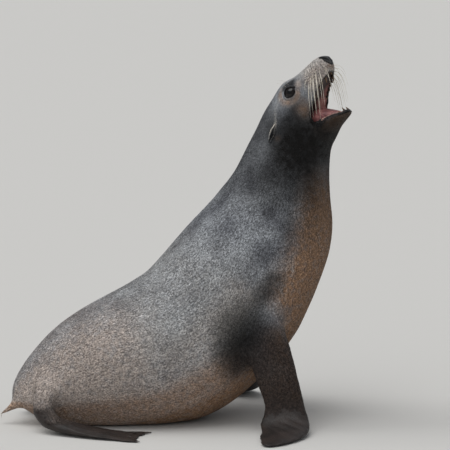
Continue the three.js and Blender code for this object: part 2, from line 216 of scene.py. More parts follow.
def mirrored(line, side):
    """A line of the left side, put on either side."""
    return [(f, side * out, u) for f, out, u in line]


def hollow(points, stations):
    """How far each point of the head is outside a hollow, in millimetres; less than 0 is inside."""
    f, l, u = points.T
    table = np.array(stations, float)
    top, low, half, crown, jowl = (np.interp(f, table[:, 0], table[:, k]) for k in range(1, 6))
    middle, tall = (top + low) / 2, (top - low) / 2
    rise = (u - middle) / tall
    power = np.where(rise > 0, crown, jowl)
    reach = (np.abs(l / half) ** power + np.abs(rise) ** power) ** (1 / power)
    size = np.hypot(l, u - middle) / np.maximum(reach, 0.05)
    past = np.maximum(table[0, 0] - f, f - table[-1, 0])
    return np.maximum((reach - 1) * size, past)


def edge_distance(points, line):
    """Distance from each point to a line of points."""
    tree = tree_of(line)
    return np.array([tree.find(p)[2] for p in points])


# ---- meshes -------------------------------------------------------------------------------------


def read(mesh, what="vertices", field="co", width=3):
    """Numbers of a mesh, a row for each of its elements."""
    block = getattr(mesh, what)
    flat = np.empty(len(block) * width, np.float32 if field in ("co", "vector") else np.int32)
    block.foreach_get(field, flat)
    return flat.reshape(-1, width).astype(float if flat.dtype == np.float32 else int)


def write(mesh, points):
    """Moves the vertices of a mesh to the points."""
    mesh.vertices.foreach_set("co", np.asarray(points, np.float32).ravel())
    mesh.update()


def keep(mesh, name, values):
    """Stores one number, or one vector, for each vertex."""
    values = np.asarray(values, np.float32)
    kind = "FLOAT" if values.ndim == 1 else "FLOAT_VECTOR"
    layer = mesh.attributes.new(name, kind, "POINT")
    layer.data.foreach_set("value" if kind == "FLOAT" else "vector", values.ravel())


def relax(points, edges, weight, times):
    """Draws each point towards the middle of its neighbours several times, by one weight for all or
    one for each."""
    count = len(points)
    shared = np.bincount(edges.ravel(), minlength=count).clip(1)
    both = np.concatenate([edges[:, 0], edges[:, 1]])
    other = np.concatenate([edges[:, 1], edges[:, 0]])
    for _ in range(times):
        mean = [np.bincount(both, points[other, k], minlength=count) / shared for k in range(3)]
        points = points + (np.stack(mean, axis=1) - points) * np.reshape(weight, (-1, 1))
    return points


def spread_values(values, edges, times):
    """Blurs one number a vertex over the mesh."""
    stacked = np.stack([values] * 3, axis=1)
    return relax(stacked, edges, 0.5, times)[:, 0]


def piece(name, mesh, slot, *materials, replaces=()):
    """Makes an object of a mesh, gives it its finish, hangs it under the root, and hides the parts
    it replaces.
    """
    made = bpy.data.objects.new(name, mesh)
    bpy.context.scene.collection.objects.link(made)
    for material in materials:
        mesh.materials.append(material)
    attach(made, "root")
    if replaces:
        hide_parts(*replaces)
    return made


def finish_bmesh(bm, name):
    """A smooth-shaded mesh of the shape."""
    mesh = bpy.data.meshes.new(name)
    bm.to_mesh(mesh)
    bm.free()
    mesh.shade_smooth()
    return mesh


def rim_in_order(mesh, walls):
    """The same mesh of squares, with those after its walls, which close its rim, in an order that
    no run changes, so that hair grows on them alike. Each starts where its diagonal stays."""
    spots = [tuple(v.co) for v in mesh.vertices]
    faces = [tuple(face.vertices) for face in mesh.polygons]
    rim = [(a, b, c, d) if a < c else (c, d, a, b) for a, b, c, d in faces[walls:]]
    mesh.clear_geometry()
    mesh.from_pydata(spots, [], faces[:walls] + sorted(rim))
    mesh.shade_smooth()
    return mesh


def head_mesh(bm, name):
    """A finished mesh of a shape that was made in the head's own frame."""
    mesh = finish_bmesh(bm, name)
    write(mesh, from_head(read(mesh)))
    return mesh


def merged(nodes):
    """One mesh builder holding merged copies of CAD nodes."""
    bm = bmesh.new()
    for name in nodes:
        bm.from_mesh(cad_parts[name].data)
    bmesh.ops.remove_doubles(bm, verts=bm.verts, dist=1e-6)
    bm.normal_update()
    return bm


def remeshed(mesh, voxel):
    """The mesh remade as one closed shell of even squares."""
    carrier = bpy.data.objects.new("carrier", mesh)
    bpy.context.scene.collection.objects.link(carrier)
    remesh = carrier.modifiers.new("even", "REMESH")
    remesh.mode = "VOXEL"
    remesh.voxel_size = voxel
    remesh.adaptivity = 0
    seen = carrier.evaluated_get(bpy.context.evaluated_depsgraph_get())
    made = bpy.data.meshes.new_from_object(seen)
    bpy.data.objects.remove(carrier)
    return made


# ---- the skin -----------------------------------------------------------------------------------

FACE_MIDDLE = (128, 0, 5)  # in the head's frame
FACE = from_head(FACE_MIDDLE)
FACE_SPREAD, FACE_REACH = 0.18, 0.09
FLOOR_SPREAD, FLOOR_REACH = 0.045, 0.03
SKIN_SQUARE = 0.0083
CLOSING = 0.0006  # closes the cuts between the solids
NEWTON_STEPS = 30


def swell(points):
    """Spreads the face and the flat flippers out, so that even squares come out small there."""
    points = points.copy()
    points[:, 2] += FLOOR_SPREAD * np.tanh(points[:, 2] / FLOOR_REACH)
    away = points - FACE
    far = np.linalg.norm(away, axis=1, keepdims=True).clip(1e-9)
    return FACE + away / far * (far + FACE_SPREAD * np.tanh(far / FACE_REACH))


def unswell(points):
    """Undoes the spreading, by Newton's method."""
    away = points - FACE
    goal = np.linalg.norm(away, axis=1, keepdims=True).clip(1e-9)
    far = goal.copy()
    for _ in range(NEWTON_STEPS):
        slope = 1 + FACE_SPREAD / FACE_REACH / np.cosh(np.minimum(far / FACE_REACH, 50)) ** 2
        far = np.clip(far - (far + FACE_SPREAD * np.tanh(far / FACE_REACH) - goal) / slope, 0, goal)
    points = FACE + away / goal * far
    height = points[:, 2].copy()
    for _ in range(NEWTON_STEPS):
        share = np.clip(height / FLOOR_REACH, -50, 50)
        slope = 1 + FLOOR_SPREAD / FLOOR_REACH / np.cosh(share) ** 2
        risen = height + FLOOR_SPREAD * np.tanh(height / FLOOR_REACH)
        height = height - (risen - points[:, 2]) / slope
    points[:, 2] = height
    return points


FLESH = ["head", "lower_jaw", "neck", "trunk", "tail"] + [
    f"{part}_{side}" for part in ("ear", "foreflipper", "hindflipper") for side in ("left", "right")
]


def base_skin():
    """The flesh nodes as one even shell, with their cuts closed."""
    bm = merged(FLESH + ["eye_left", "eye_right"])
    for v in bm.verts:
        v.co += v.normal * CLOSING
    mesh = finish_bmesh(bm, "flesh")
    write(mesh, swell(read(mesh)))
    shell = remeshed(mesh, SKIN_SQUARE)
    write(shell, unswell(read(shell)))
    bm = bmesh.new()
    bm.from_mesh(shell)
    # The largest shell is the skin; bubbles in the closed cuts go.
    left, groups = set(bm.verts), []
    while left:
        group, edge = set(), [next(iter(left))]
        while edge:
            v = edge.pop()
            if v not in group:
                group.add(v)
                edge.extend(e.other_vert(v) for e in v.link_edges)
        groups.append(group)
        left -= group
    largest = max(groups, key=len)
    bmesh.ops.delete(bm, geom=[v for v in bm.verts if v not in largest], context="VERTS")
    return bm


def refine(bm, spots, cuts=1):
    """Cuts the squares smaller round each spot of the head: forward, out, up and radius."""
    where = in_head(np.array([v.co for v in bm.verts]))
    near = np.zeros(len(where), bool)
    for f, l, u, radius in spots:
        near |= np.linalg.norm(where - (f, l, u), axis=1) < radius
    bm.verts.index_update()
    edges = [e for e in bm.edges if near[e.verts[0].index] and near[e.verts[1].index]]
    bmesh.ops.subdivide_edges(bm, edges=edges, cuts=cuts, use_grid_fill=True)


SIDES = (-1, 1)
EYES = [(EYE_CENTRE[0], side * EYE_CENTRE[1], EYE_CENTRE[2]) for side in SIDES]
# How far the lids stand from the middle of the eye, by the degrees past their edge.
LIDS = (
    [-50, -5, -2.2, -0.2, 2, 6, 9.5, 13, 19, 28, 42],
    [17, 17.6, 19.6, 22.8, 23.9, 24.3, 23.9, 23.5, 24.5, 24.4, 22.0],
)
# From the front corner of the left eye towards the nose.
TEAR_LINE = (
    (99, 59.5, 47.5),
    (104, 57.5, 50.5),
    (109, 54.5, 54),
    (114, 51, 57.5),
    (117.5, 48, 60.5),
)
EARS = [(-13.0, side * 87.0, -16.0) for side in SIDES]
EAR_LONG = 52.0
EAR_WAY = np.array((-0.72, 0.46, -0.56)) / np.linalg.norm((-0.72, 0.46, -0.56))
EAR_OPEN = np.array((0.52, 0.80, -0.34))  # the way the slit of the left ear faces
EAR_ROOT = np.array((8.0, 76.0, 0.5))
EAR_WIDE = ([0, 0.15, 0.3, 0.45, 0.7, 0.9, 1], [2.5, 4.2, 6.2, 6.8, 4.8, 2.4, 0.6])
EAR_CURL = math.radians(266)
EAR_BOW, EAR_WALL = 2.2, 1.7  # how far the leaf is bent, and how thick it is
NOSE_MIDDLE, NOSE_REACH = np.array((216, 0, 55.5)), np.array((19.5, 21, 21))
NOSTRIL = ((211, 20.5, 63), (216, 17.5, 57), (218.5, 13.5, 51), (219, 9.5, 46))
NOSTRILS = [mirrored(NOSTRIL, side) for side in SIDES]


def eye_turn(head_points, side):
    """For one eye: the distance of each point from its middle, how many degrees it lies off the way
    the eye looks, and the edge of the lids there, wider at the two corners."""
    away = head_points - np.array(EYE_CENTRE) * (1, side, 1)
    far = np.linalg.norm(away, axis=1)
    look = np.array(EYE_LOOK) * (1, side, 1)
    look /= np.linalg.norm(look)
    cosine = away @ look / far.clip(1e-6)
    turn = np.degrees(np.arccos(cosine.clip(-1, 1)))
    flat = unit(away - look * (away @ look)[:, None])
    corner = EYE_CORNER - look * (EYE_CORNER @ look)
    corner /= np.linalg.norm(corner)
    lean = flat @ corner
    edge = 35 + 9 * ramp(lean, 0.84, 1.0) + 4 * ramp(-lean, 0.8, 1.0)
    edge = edge - 2.5 * ramp(flat[:, 2], 0.2, 0.9)
    return far, turn, edge, away


def shape_eyes(h):
    """Lids: a round rim standing off the eyeball, an opening pushed in behind it, and a crease."""
    for side in SIDES:
        far, turn, edge, away = eye_turn(h, side)
        past = turn - edge
        lid = np.interp(past, *LIDS)
        crease = 0.6 * np.exp(-(((far - lid) / 1.6) ** 2))
        outer = np.where(past > 1, np.maximum(far, lid) + crease, lid)
        near = (turn < 88) & (far < 44)
        mix = np.where(near, ramp(turn, 88, 70), 0)
        goal = far + (outer - far) * mix
        h = h + away / far[:, None] * (goal - far)[:, None]
    return h


def nose_leather(h, wider=0.0):
    """1 on the bare leather of the nose."""
    size = np.linalg.norm((h - NOSE_MIDDLE) / NOSE_REACH, axis=1)
    return ramp(size, 1.06 + 2 * wider, 0.95 + wider)


def shape_nose(h, n):
    """Nostril slits, the groove between them, and a low rim round the leather."""
    for slit in NOSTRILS:
        far = edge_distance(h, spline(slit))
        h = h - np.array((0.93, 0.0, 0.36)) * (8.5 * ramp(far, 4.2, 1.0))[:, None]
        h = h + n * (1.1 * np.exp(-(((far - 5.6) / 1.6) ** 2)))[:, None]
    middle = ramp(np.abs(h[:, 1]), 3.2, 0.4) * ramp(h[:, 0], 200, 208)
    middle = middle * ramp(h[:, 2], 14, 22) * ramp(h[:, 2], 74, 62)
    h = h - n * (1.5 * middle)[:, None]
    edge = np.abs(nose_leather(h) - 0.5) < 0.49
    return h - n * (0.5 * spread_values(edge.astype(float), skin_edges, 2))[:, None]


def ear_frame(side):
    """The root of an ear, the way it grows, the way its slit faces, and the way across."""
    flip = np.array((1, side, 1))
    way, front = EAR_WAY * flip, EAR_OPEN * flip
    front = front - way * (front @ way)
    front /= np.linalg.norm(front)
    return EAR_ROOT * flip, way, front, np.cross(way, front)


def make_ear(side):
    """A small rolled ear: a leaf curled into a pointed cone, open along its front lower side."""
    bm = bmesh.new()
    bmesh.ops.create_grid(bm, x_segments=26, y_segments=34, size=0.5)
    root, way, front, across = ear_frame(side)
    for v in bm.verts:
        share, round_it = v.co.y + 0.5, v.co.x * EAR_CURL
        wide = float(np.interp(share, *EAR_WIDE))
        curl = 0.78 + 0.22 * math.cos(round_it)
        spot = root + way * (share * EAR_LONG) - front * (math.cos(round_it) * wide * 0.72)
        spot = spot + across * (math.sin(round_it) * wide * curl)
        v.co = Vector(spot - front * EAR_BOW * math.sin(share * math.pi))
    bmesh.ops.recalc_face_normals(bm, faces=bm.faces)
    walls = 2 * len(bm.faces)
    bmesh.ops.solidify(bm, geom=bm.faces[:], thickness=EAR_WALL)
    bmesh.ops.recalc_face_normals(bm, faces=bm.faces)
    for _ in range(2):
        bmesh.ops.smooth_vert(
            bm, verts=bm.verts, factor=0.5, use_axis_x=True, use_axis_y=True, use_axis_z=True
        )
    for v in bm.verts:
        v.co = Vector(from_head(v.co))
    return rim_in_order(finish_bmesh(bm, "ear"), walls)


def ear_shade_and_highlight(h, normals, first):
    """Painted shade inside the ears and round them, and a painted highlight on their pale rear
    edge; the ears are the points from first on.
    """
    dark, pale = np.zeros(len(h)), np.zeros(len(h))
    ears = np.arange(len(h)) >= first
    for side in SIDES:
        root, way, front, _ = ear_frame(side)
        away = h - root
        share = (away @ way) / EAR_LONG
        bow = EAR_BOW * np.sin(np.clip(share, 0, 1) * np.pi)
        flat = away - way * (away @ way)[:, None] + front * bow[:, None]
        # The inside of the rolled ear is painted black as shade.
        inner = np.sum(normals * flat, axis=1) < 0
        mine = ears & (h[:, 1] * side > 0)
        dark[mine] = inner[mine]
        # A painted highlight along the rear edge of the ear.
        pale[mine] = (~inner * ramp(flat @ front, 3.2, 0.8) * ramp(share, 0.95, 0.6))[mine]
        # Painted shadow: the fur in the shadow of the ear is darkened too.
        wide = np.interp(share, *EAR_WIDE)
        shade = ramp(np.linalg.norm(flat, axis=1), wide + 5, wide) * ramp(flat @ front, 1.0, 4.0)
        shade = shade * ramp(share, -0.1, 0.1) * ramp(share, 1.05, 0.9)
        dark = np.maximum(dark, np.where(mine, 0, 0.9 * shade))
    return dark, pale


# Rows of whiskers on the left pad, from the top: forward and up of the first, number and gap.
PAD_ROWS = (
    (204, 58, 5, 7.6),
    (205, 51, 6, 7.6),
    (206, 43.5, 7, 7.6),
    (205, 36.5, 7, 7.8),
    (202, 29.5, 6, 8.2),
    (196, 23, 5, 8.6),
)


def whisker_roots():
    """The roots on the left pad: forward, up, the row and the place in it."""
    return [
        (f - gap * k - 1.2 * row * (k > 0), u + 0.9 * k - 0.35 * k * row, row, k)
        for row, (f, u, count, gap) in enumerate(PAD_ROWS)
        for k in range(count)
    ]


def mouth_gap(h):
    """How far each point of the head is outside the hollow of the mouth, in millimetres."""
    return np.minimum.reduce([hollow(h, THROAT), hollow(h, PALATE), hollow(h, TROUGH)])


def lining(h, edge=(2.6, 1.2), back=(16, 26)):
    """1 on the lining of the mouth, as far back as the gullet."""
    return ramp(mouth_gap(h), *edge) * ramp(h[:, 0], *back)


def mouth_rim(h, edges):
    """The points where the mouth's lining meets the lips, and the distance of all from them."""
    inside = lining(h) > 0.5
    crossing = edges[inside[edges[:, 0]] != inside[edges[:, 1]]].ravel()
    rim = h[np.unique(crossing)]
    rim = rim[(rim[:, 0] > 62) & (rim[:, 2] > -106)]
    tree = tree_of(rim)
    rim = np.array([np.mean([rim[i] for _, i, _ in tree.find_range(p, 7.5)], axis=0) for p in rim])
    return rim, edge_distance(h, rim)


def near_teeth(head):
    """1 at the gum round each tooth."""
    close = np.zeros(len(head))
    for rows, up in ((UPPER_TEETH, -1), (LOWER_TEETH, 1)):
        for f, out, root, long, radius in rows:
            axis = [(f, out, root + up * long * t) for t in (-0.2, 0.1, 0.4, 0.7)]
            close = np.maximum(close, ramp(edge_distance(head, axis), radius + 3.0, radius + 1.2))
    return close


def shape_lips(h, n, edges):
    """A rolled lip round the mouth, beaded along the lower jaw and most of all in its corners."""
    _, far = mouth_rim(h, edges)
    roll = np.exp(-((far / 3.4) ** 2))
    lower = ramp(h[:, 2], -30, -50)
    corner = ramp(h[:, 0], 128, 104) * lower
    beads = np.sin(h[:, 0] / 1.05 + h[:, 2] / 2.2) * np.sin(h[:, 1] / 1.3 + h[:, 2] / 1.4)
    beads = beads * np.exp(-((far / 5.5) ** 2))
    push = roll * (1.3 + 1.4 * lower + 0.8 * corner) + beads * (0.12 + 0.15 * lower + 0.6 * corner)
    return h + n * push[:, None]


def pad_place(tree, f, u, side):
    """The place on the side of the muzzle at a height and a length forward."""
    hit, normal, _, _ = tree.ray_cast(Vector((f, side * 140, u)), Vector((0, -side, 0)))
    return (np.array(hit), np.array(normal)) if hit else (None, None)


# Swellings and hollows of the near and far side alike, in millimetres: depth, middle and reach.
FOLDS = (
    (-7.0, (245, 160, 577), (75, 80, 42)),  # between neck and shoulder
    (5.0, (232, 185, 500), (95, 90, 70)),  # shoulder
    (-6.0, (248, 205, 396), (52, 70, 34)),  # under the shoulder
    (5.0, (262, 200, 325), (50, 80, 50)),  # elbow
    (-9.0, (165, 215, 285), (44, 80, 85)),  # armpit
    (3.0, (272, 140, 623), (40, 60, 32)),  # base of the neck
)


def body_folds(points, normals):
    """The hollow between neck and shoulder, the shoulder and elbow, and the folds at the armpit."""
    flat = on_both_sides(points * 1000)
    push = sum(depth * blot(flat, middle, reach) for depth, middle, reach in FOLDS)
    return points + normals * (push / 1000)[:, None]


def neck_folds(points, along, angle, normals):
    """Faint rings of loose skin round the nape and throat."""
    wave = np.sin(along * 1000 / 21 + 1.6 * np.sin(angle * 2) + 2.2 * np.sin(along * 1000 / 90))
    where = ramp(along, 0.24, 0.30) * ramp(along, 0.52, 0.42)
    return points + normals * (0.0007 * wave * where)[:, None]


def digit_ridges(points, normals):
    """Low ridges over the digits, fanning out from the wrist and the heel."""
    mm = points * 1000
    side = np.abs(mm[:, 1])
    push = 0
    fore = (mm[:, 0] > 40) * ramp(side, 255, 300) * ramp(mm[:, 2], 80, 50)
    hind = ramp(mm[:, 0], -30, -70) * ramp(side, 150, 175) * ramp(mm[:, 2], 55, 40)
    for (x, y), swing, tall, where in (((185, 225), 12, 1.6, fore), ((-400, 140), 9, 1.3, hind)):
        far = np.hypot(mm[:, 0] - x, side - y)
        turn = np.degrees(np.arctan2(side - y, mm[:, 0] - x))
        push += tall * np.cos(np.radians(turn * 360 / swing)) * ramp(far, 60, 120) * where
    return points + normals * (push * ramp(normals[:, 2], 0.2, 0.6) / 1000)[:, None]


def add_warts(bm, h, normals):
    """Wet black warts, crowded below the corners of the mouth."""
    for side in SIDES:
        chance = blot(h, (99, side * 50, -67), (20, 17, 23), 0.8) * (mouth_gap(h) > 0.4)
        for i in np.flatnonzero(rng.random(len(h)) < 0.42 * chance):
            size = rng.uniform(1.1, 3.1)
            place = Matrix.Translation(Vector(from_head(h[i]) - normals[i] * size * 0.00045))
            bmesh.ops.create_icosphere(bm, subdivisions=1, radius=size / 1000, matrix=place)


# Smaller squares at the eyes, the nose, the muzzle, and the mouth's corners and lower rim.
bm = base_skin()
refine(
    bm,
    [(f, l, u, 33) for f, l, u in EYES]
    + [(207, l, 55, 19) for l in (-9, 9)]
    + [(214, 0, 38, 20)]
    + [(184, l, 42, 34) for l in (-38, 38)]
    + [(98, l, -62, 24) for l in (-50, 50)],
)
refine(bm, [(f, l, u, 28) for f, l, u in EYES] + [(208, l, 55, 14) for l in (-9, 9)])
h = in_head(np.array([v.co for v in bm.verts]))
bm.verts.index_update()
rim, _ = mouth_rim(h, np.array([[v.index for v in e.verts] for e in bm.edges]))
refine(bm, [(f, l, u, 7) for f, l, u in rim if u < -40])
skin_mesh = finish_bmesh(bm, "skin")
skin_edges = read(skin_mesh, "edges", "vertices", 2)
points = read(skin_mesh)

# The facets are smoothed away, least at the lips, most where the skull joins the neck and at the
# stumps of the ears, on which the rolled ears stand.
h = in_head(points)
at_ear = highest(*(blot(h, spot, (46, 26, 36), 0.4) for spot in EARS))
along, *_ = on_body(points)
at_lip = ramp(np.abs(mouth_gap(h)), 9, 3) * ramp(h[:, 0], 70, 90)
on_face = ramp(np.linalg.norm(h - FACE_MIDDLE, axis=1), 260, 120)
points = relax(points, skin_edges, 0.5 * (1 - 0.75 * at_lip), 14)
collar = highest(
    ramp(np.abs(along - 0.235), 0.12, 0.05) * ramp(h[:, 0], 60, 30),
    at_ear,
    blot(on_both_sides(h), (70, 30, -122), (70, 70, 45), 0.7),
)
points = relax(points, skin_edges, 0.5 * collar, 70)
blade = ramp(points[:, 2], 0.09, 0.05) * ramp(np.abs(points[:, 1]), 0.12, 0.16)
points = relax(points, skin_edges, 0.5 * (1 - on_face) * (1 - blade), 6)
points = relax(points, skin_edges, 0.5 * lining(in_head(points), (3.0, 1.0), (18, 30)), 36)
h = in_head(points)
_, from_rim = mouth_rim(h, skin_edges)
points = relax(points, skin_edges, 0.5 * ramp(from_rim, 11, 6) * ramp(h[:, 2], -20, -50), 18)
write(skin_mesh, points)

# The coat's depth: the skin lies this far inside the solids, where fur grows on it.
normals = read(skin_mesh, "vertex_normals", "vector")
along, angle, *_ = on_body(points)
furred = 1 - lining(in_head(points), (3.0, 1.0), (18, 30))
points = points - normals * (0.0006 + 0.0016 * ramp(along, 0.05, 0.30) * furred)[:, None]
points = body_folds(points, normals)
points = neck_folds(points, along, angle, normals)
points = digit_ridges(points, normals)
h = shape_eyes(in_head(points))
h = shape_nose(h, normals @ HEAD_TURN)
h = shape_lips(h, normals @ HEAD_TURN, skin_edges)
points = from_head(h)
points[:, 2] = np.maximum(points[:, 2], 0.0)
write(skin_mesh, points)

# The ears and the warts join the skin as one mesh.
bm = bmesh.new()
bm.from_mesh(skin_mesh)
first_ear = len(bm.verts)
for side in SIDES:
    bm.from_mesh(make_ear(side))
first_wart = len(bm.verts)
add_warts(bm, h, normals)
skin_mesh = finish_bmesh(bm, "skin")
skin_edges = read(skin_mesh, "edges", "vertices", 2)
points = read(skin_mesh)
normals = read(skin_mesh, "vertex_normals", "vector")
h = in_head(points)


# ---- markings, kept on each point of the skin ---------------------------------------------------

FINS = {
    "hind": BVHTree.FromBMesh(merged(["hindflipper_left", "hindflipper_right"])),
    "body": BVHTree.FromBMesh(merged(["trunk"])),
}
FIN_SEARCH = 0.08
# Down the fold of the elbow, where shade is painted: forward, out and height in millimetres.
ELBOW_FOLD_SHADE = ((246, 205, 398), (214, 212, 372), (186, 215, 336), (160, 215, 286))
# A painted highlight from the brow down to the ear, in the head's frame.
BROW_HIGHLIGHT = (
    (60, 60, 50),
    (46, 64, 45),
    (33, 68, 38),
    (24, 74, 22),
    (14, 79, 6),
    (4, 84, -6),
    (-6, 88, -12),
)
BELOW_EAR = ((-6, 88, -34), (18, 16, 18), 1.0)
# What is left of the light of the fur where the painted shade is darkest.
DEEPEST = 0.045


def skin_gap(which):
    """How far each point of the skin is from those solids, in millimetres."""
    found = (FINS[which].find_nearest(Vector(p), FIN_SEARCH)[3] for p in points)
    return 1000 * np.array([far or FIN_SEARCH for far in found])


def mouth_marks(h, head, ears, warts):
    """The lining of the mouth, the black lips and warts round it, and the gums inside them."""
    mouth = lining(h) * ~(warts | ears)
    inside = ramp(mouth_gap(h), 3.0, 1.0) * mouth
    _, from_rim = mouth_rim(h, skin_edges)
    jaw = ramp(h[:, 2], -46, -60) * ramp(h[:, 0], 92, 104)
    ridge = jaw * ramp(from_rim, 4.0, 2.6) * ramp(h[:, 0], 172, 160)
    by_tooth = near_teeth(head) * inside
    lips = ramp(from_rim, 5.6 + 7.4 * jaw, 4.4 + 6.6 * jaw) * (1 - ridge) * (1 - inside * jaw)
    corner = 0.97 * blot(head, (99, 50, -68), (17, 16, 20), 0.5) * (1 - inside)
    lips = highest(spread_values(lips, skin_edges, 2), warts, corner) * (1 - 0.75 * by_tooth * jaw)
    gum = highest(ridge, 0.5 * by_tooth * jaw, 0.9 * inside * jaw * ramp(from_rim, 9, 7))
    return {
        "mouth": highest(mouth, jaw * ramp(from_rim, 8.4, 7.2) * ramp(h[:, 0], 180, 172)),
        "gum": spread_values(gum, skin_edges, 2),
        "lips": lips,
    }


def black_marks(h, lips, slit):
    """The nose's leather, its nostrils painted black as shade, and all black skin: lips, lids and
    tear lines; the painted shade of the ears goes in too.
    """
    lids = []
    for side in SIDES:
        far, off, edge, _ = eye_turn(h, side)
        tear = edge_distance(h, spline(mirrored(TEAR_LINE, side)))
        lids += [ramp(off - edge, 11, 7.5) * ramp(far, 30, 27), 0.9 * ramp(tear, 2.8, 1.2)]
    # Painted shade: the nostril slits are painted black.
    shaded_nostril = np.minimum.reduce([edge_distance(h, spline(line)) for line in NOSTRILS])
    return {
        "nose": nose_leather(h),
        "shaded_nostril": ramp(shaded_nostril, 6.2, 4.0),
        "black": np.clip(lips + highest(*lids) + nose_leather(h, 0.1) + 0.95 * slit, 0, 1),
    }


def flipper_marks(mm, flat):
    """Bare hide of the flippers, from the wrist out and from the heel back, with a ragged edge, and
    the dark brown fur before it."""
    x, out, up = flat.T
    ragged = up + 9 * np.sin(x / 17 + mm[:, 1] / 12) + 5 * np.sin(x / 6.1 - mm[:, 1] / 7.3)
    fore = ramp(ragged, 140, 48) * ramp(out, 205, 235) * ramp(x, 60, 90)
    hind = highest(
        ramp(up, 42, 30) * ramp(out, 150, 180) * ramp(x, -60, -100),
        ramp(up, 78, 55) * ramp(x, -350, -380) * ramp(out, 118, 140),
    )
    leg = ramp(up, 345, 225) * ramp(out, 175, 205) * ramp(x, 110, 150)
    leg = leg * (1 - np.minimum(1.2 * blot(flat, (150, 215, 268), (84, 125, 120)), 1))
    on_fin = ramp(skin_gap("hind") - skin_gap("body"), 2, -10) * ramp(up, 110, 45)
    return {
        "hide": np.clip(fore + hind, 0, 1),
        "wrist": highest(0.92 * leg, 0.85 * spread_values(on_fin, skin_edges, 12)),
    }


def dark_fur_and_shade(head, f, u, along, turn, flat, eye_ring):
    """Dark wet brown fur on the crown, cheek and neck, with painted shade over it: near black under
    the jaw and down the throat, before the shoulder, along the fold of the elbow and in the armpit.
    Lightest over the nape and on the muzzle."""
    # The sides of the neck are darker than the nape, partly as painted shade.
    neck = 0.58 + 0.20 * ramp(turn, 34, 66) - 0.44 * ramp(turn, 112, 145)
    dark = highest(
        ramp(along, 145, 235) * ramp(along, 560, 360) * neck,
        0.78 * ramp(along, 95, 145) * ramp(turn, 56, 92) * ramp(along, 330, 250),
    )
    dark = highest(
        dark * (1 - 0.5 * blot(head, (100, 60, -20), (36, 26, 48), 0.9)),
        # Painted shade in the hollow between the neck and the shoulder.
        0.55 * blot(flat, (290, 165, 560), (62, 110, 120)),
        0.60 * blot(flat, (243, 160, 580), (44, 80, 36)),
    )
    # Painted shade over darker wet fur: near black under the jaw and on the throat, in the armpit
    # and along the fold of the elbow.
    deep = highest(
        blot(head, (22, 74, -96), (118, 104, 112)),
        0.5 * ramp(u, -40, -112) * ramp(f, 140, 80) * ramp(along, 420, 200),
        0.8 * ramp(u, -58, -92) * ramp(f, 66, 96) * ramp(along, 270, 190),
        0.45 * ramp(u, -34, -104) * ramp(f, 124, 70) * ramp(along, 440, 200),
        0.2 * ramp(u, -60, -88) * ramp(f, 60, 95) * ramp(along, 260, 200),
        blot(flat, (152, 215, 250), (112, 125, 150)),
        0.42 * ramp(edge_distance(flat, spline(ELBOW_FOLD_SHADE)), 50, 0),
    )
    # Partly painted shade: dark in the hollow of the socket above the eye.
    socket = 0.8 * blot(head, (99, 44, 60), (32, 24, 21), 0.4) * ramp(f, 124, 116)
    dark = highest(1 - (1 - dark) * DEEPEST**deep, socket * ramp(head[:, 1], 24, 33))
    light = blot(head, (126, 48, 46), (22, 18, 26), 0.7) + 0.8 * eye_ring
    light = light + 0.25 * blot(head, *BELOW_EAR)
    muzzle = np.minimum(ramp(f, 128, 165), ramp(u, -72, -50))
    jaw = 0.16 * ramp(f, 86, 140) * ramp(u, -50, -72)
    return dark * (1 - 0.7 * light.clip(0, 1)) * (1 - muzzle) * (1 - jaw)


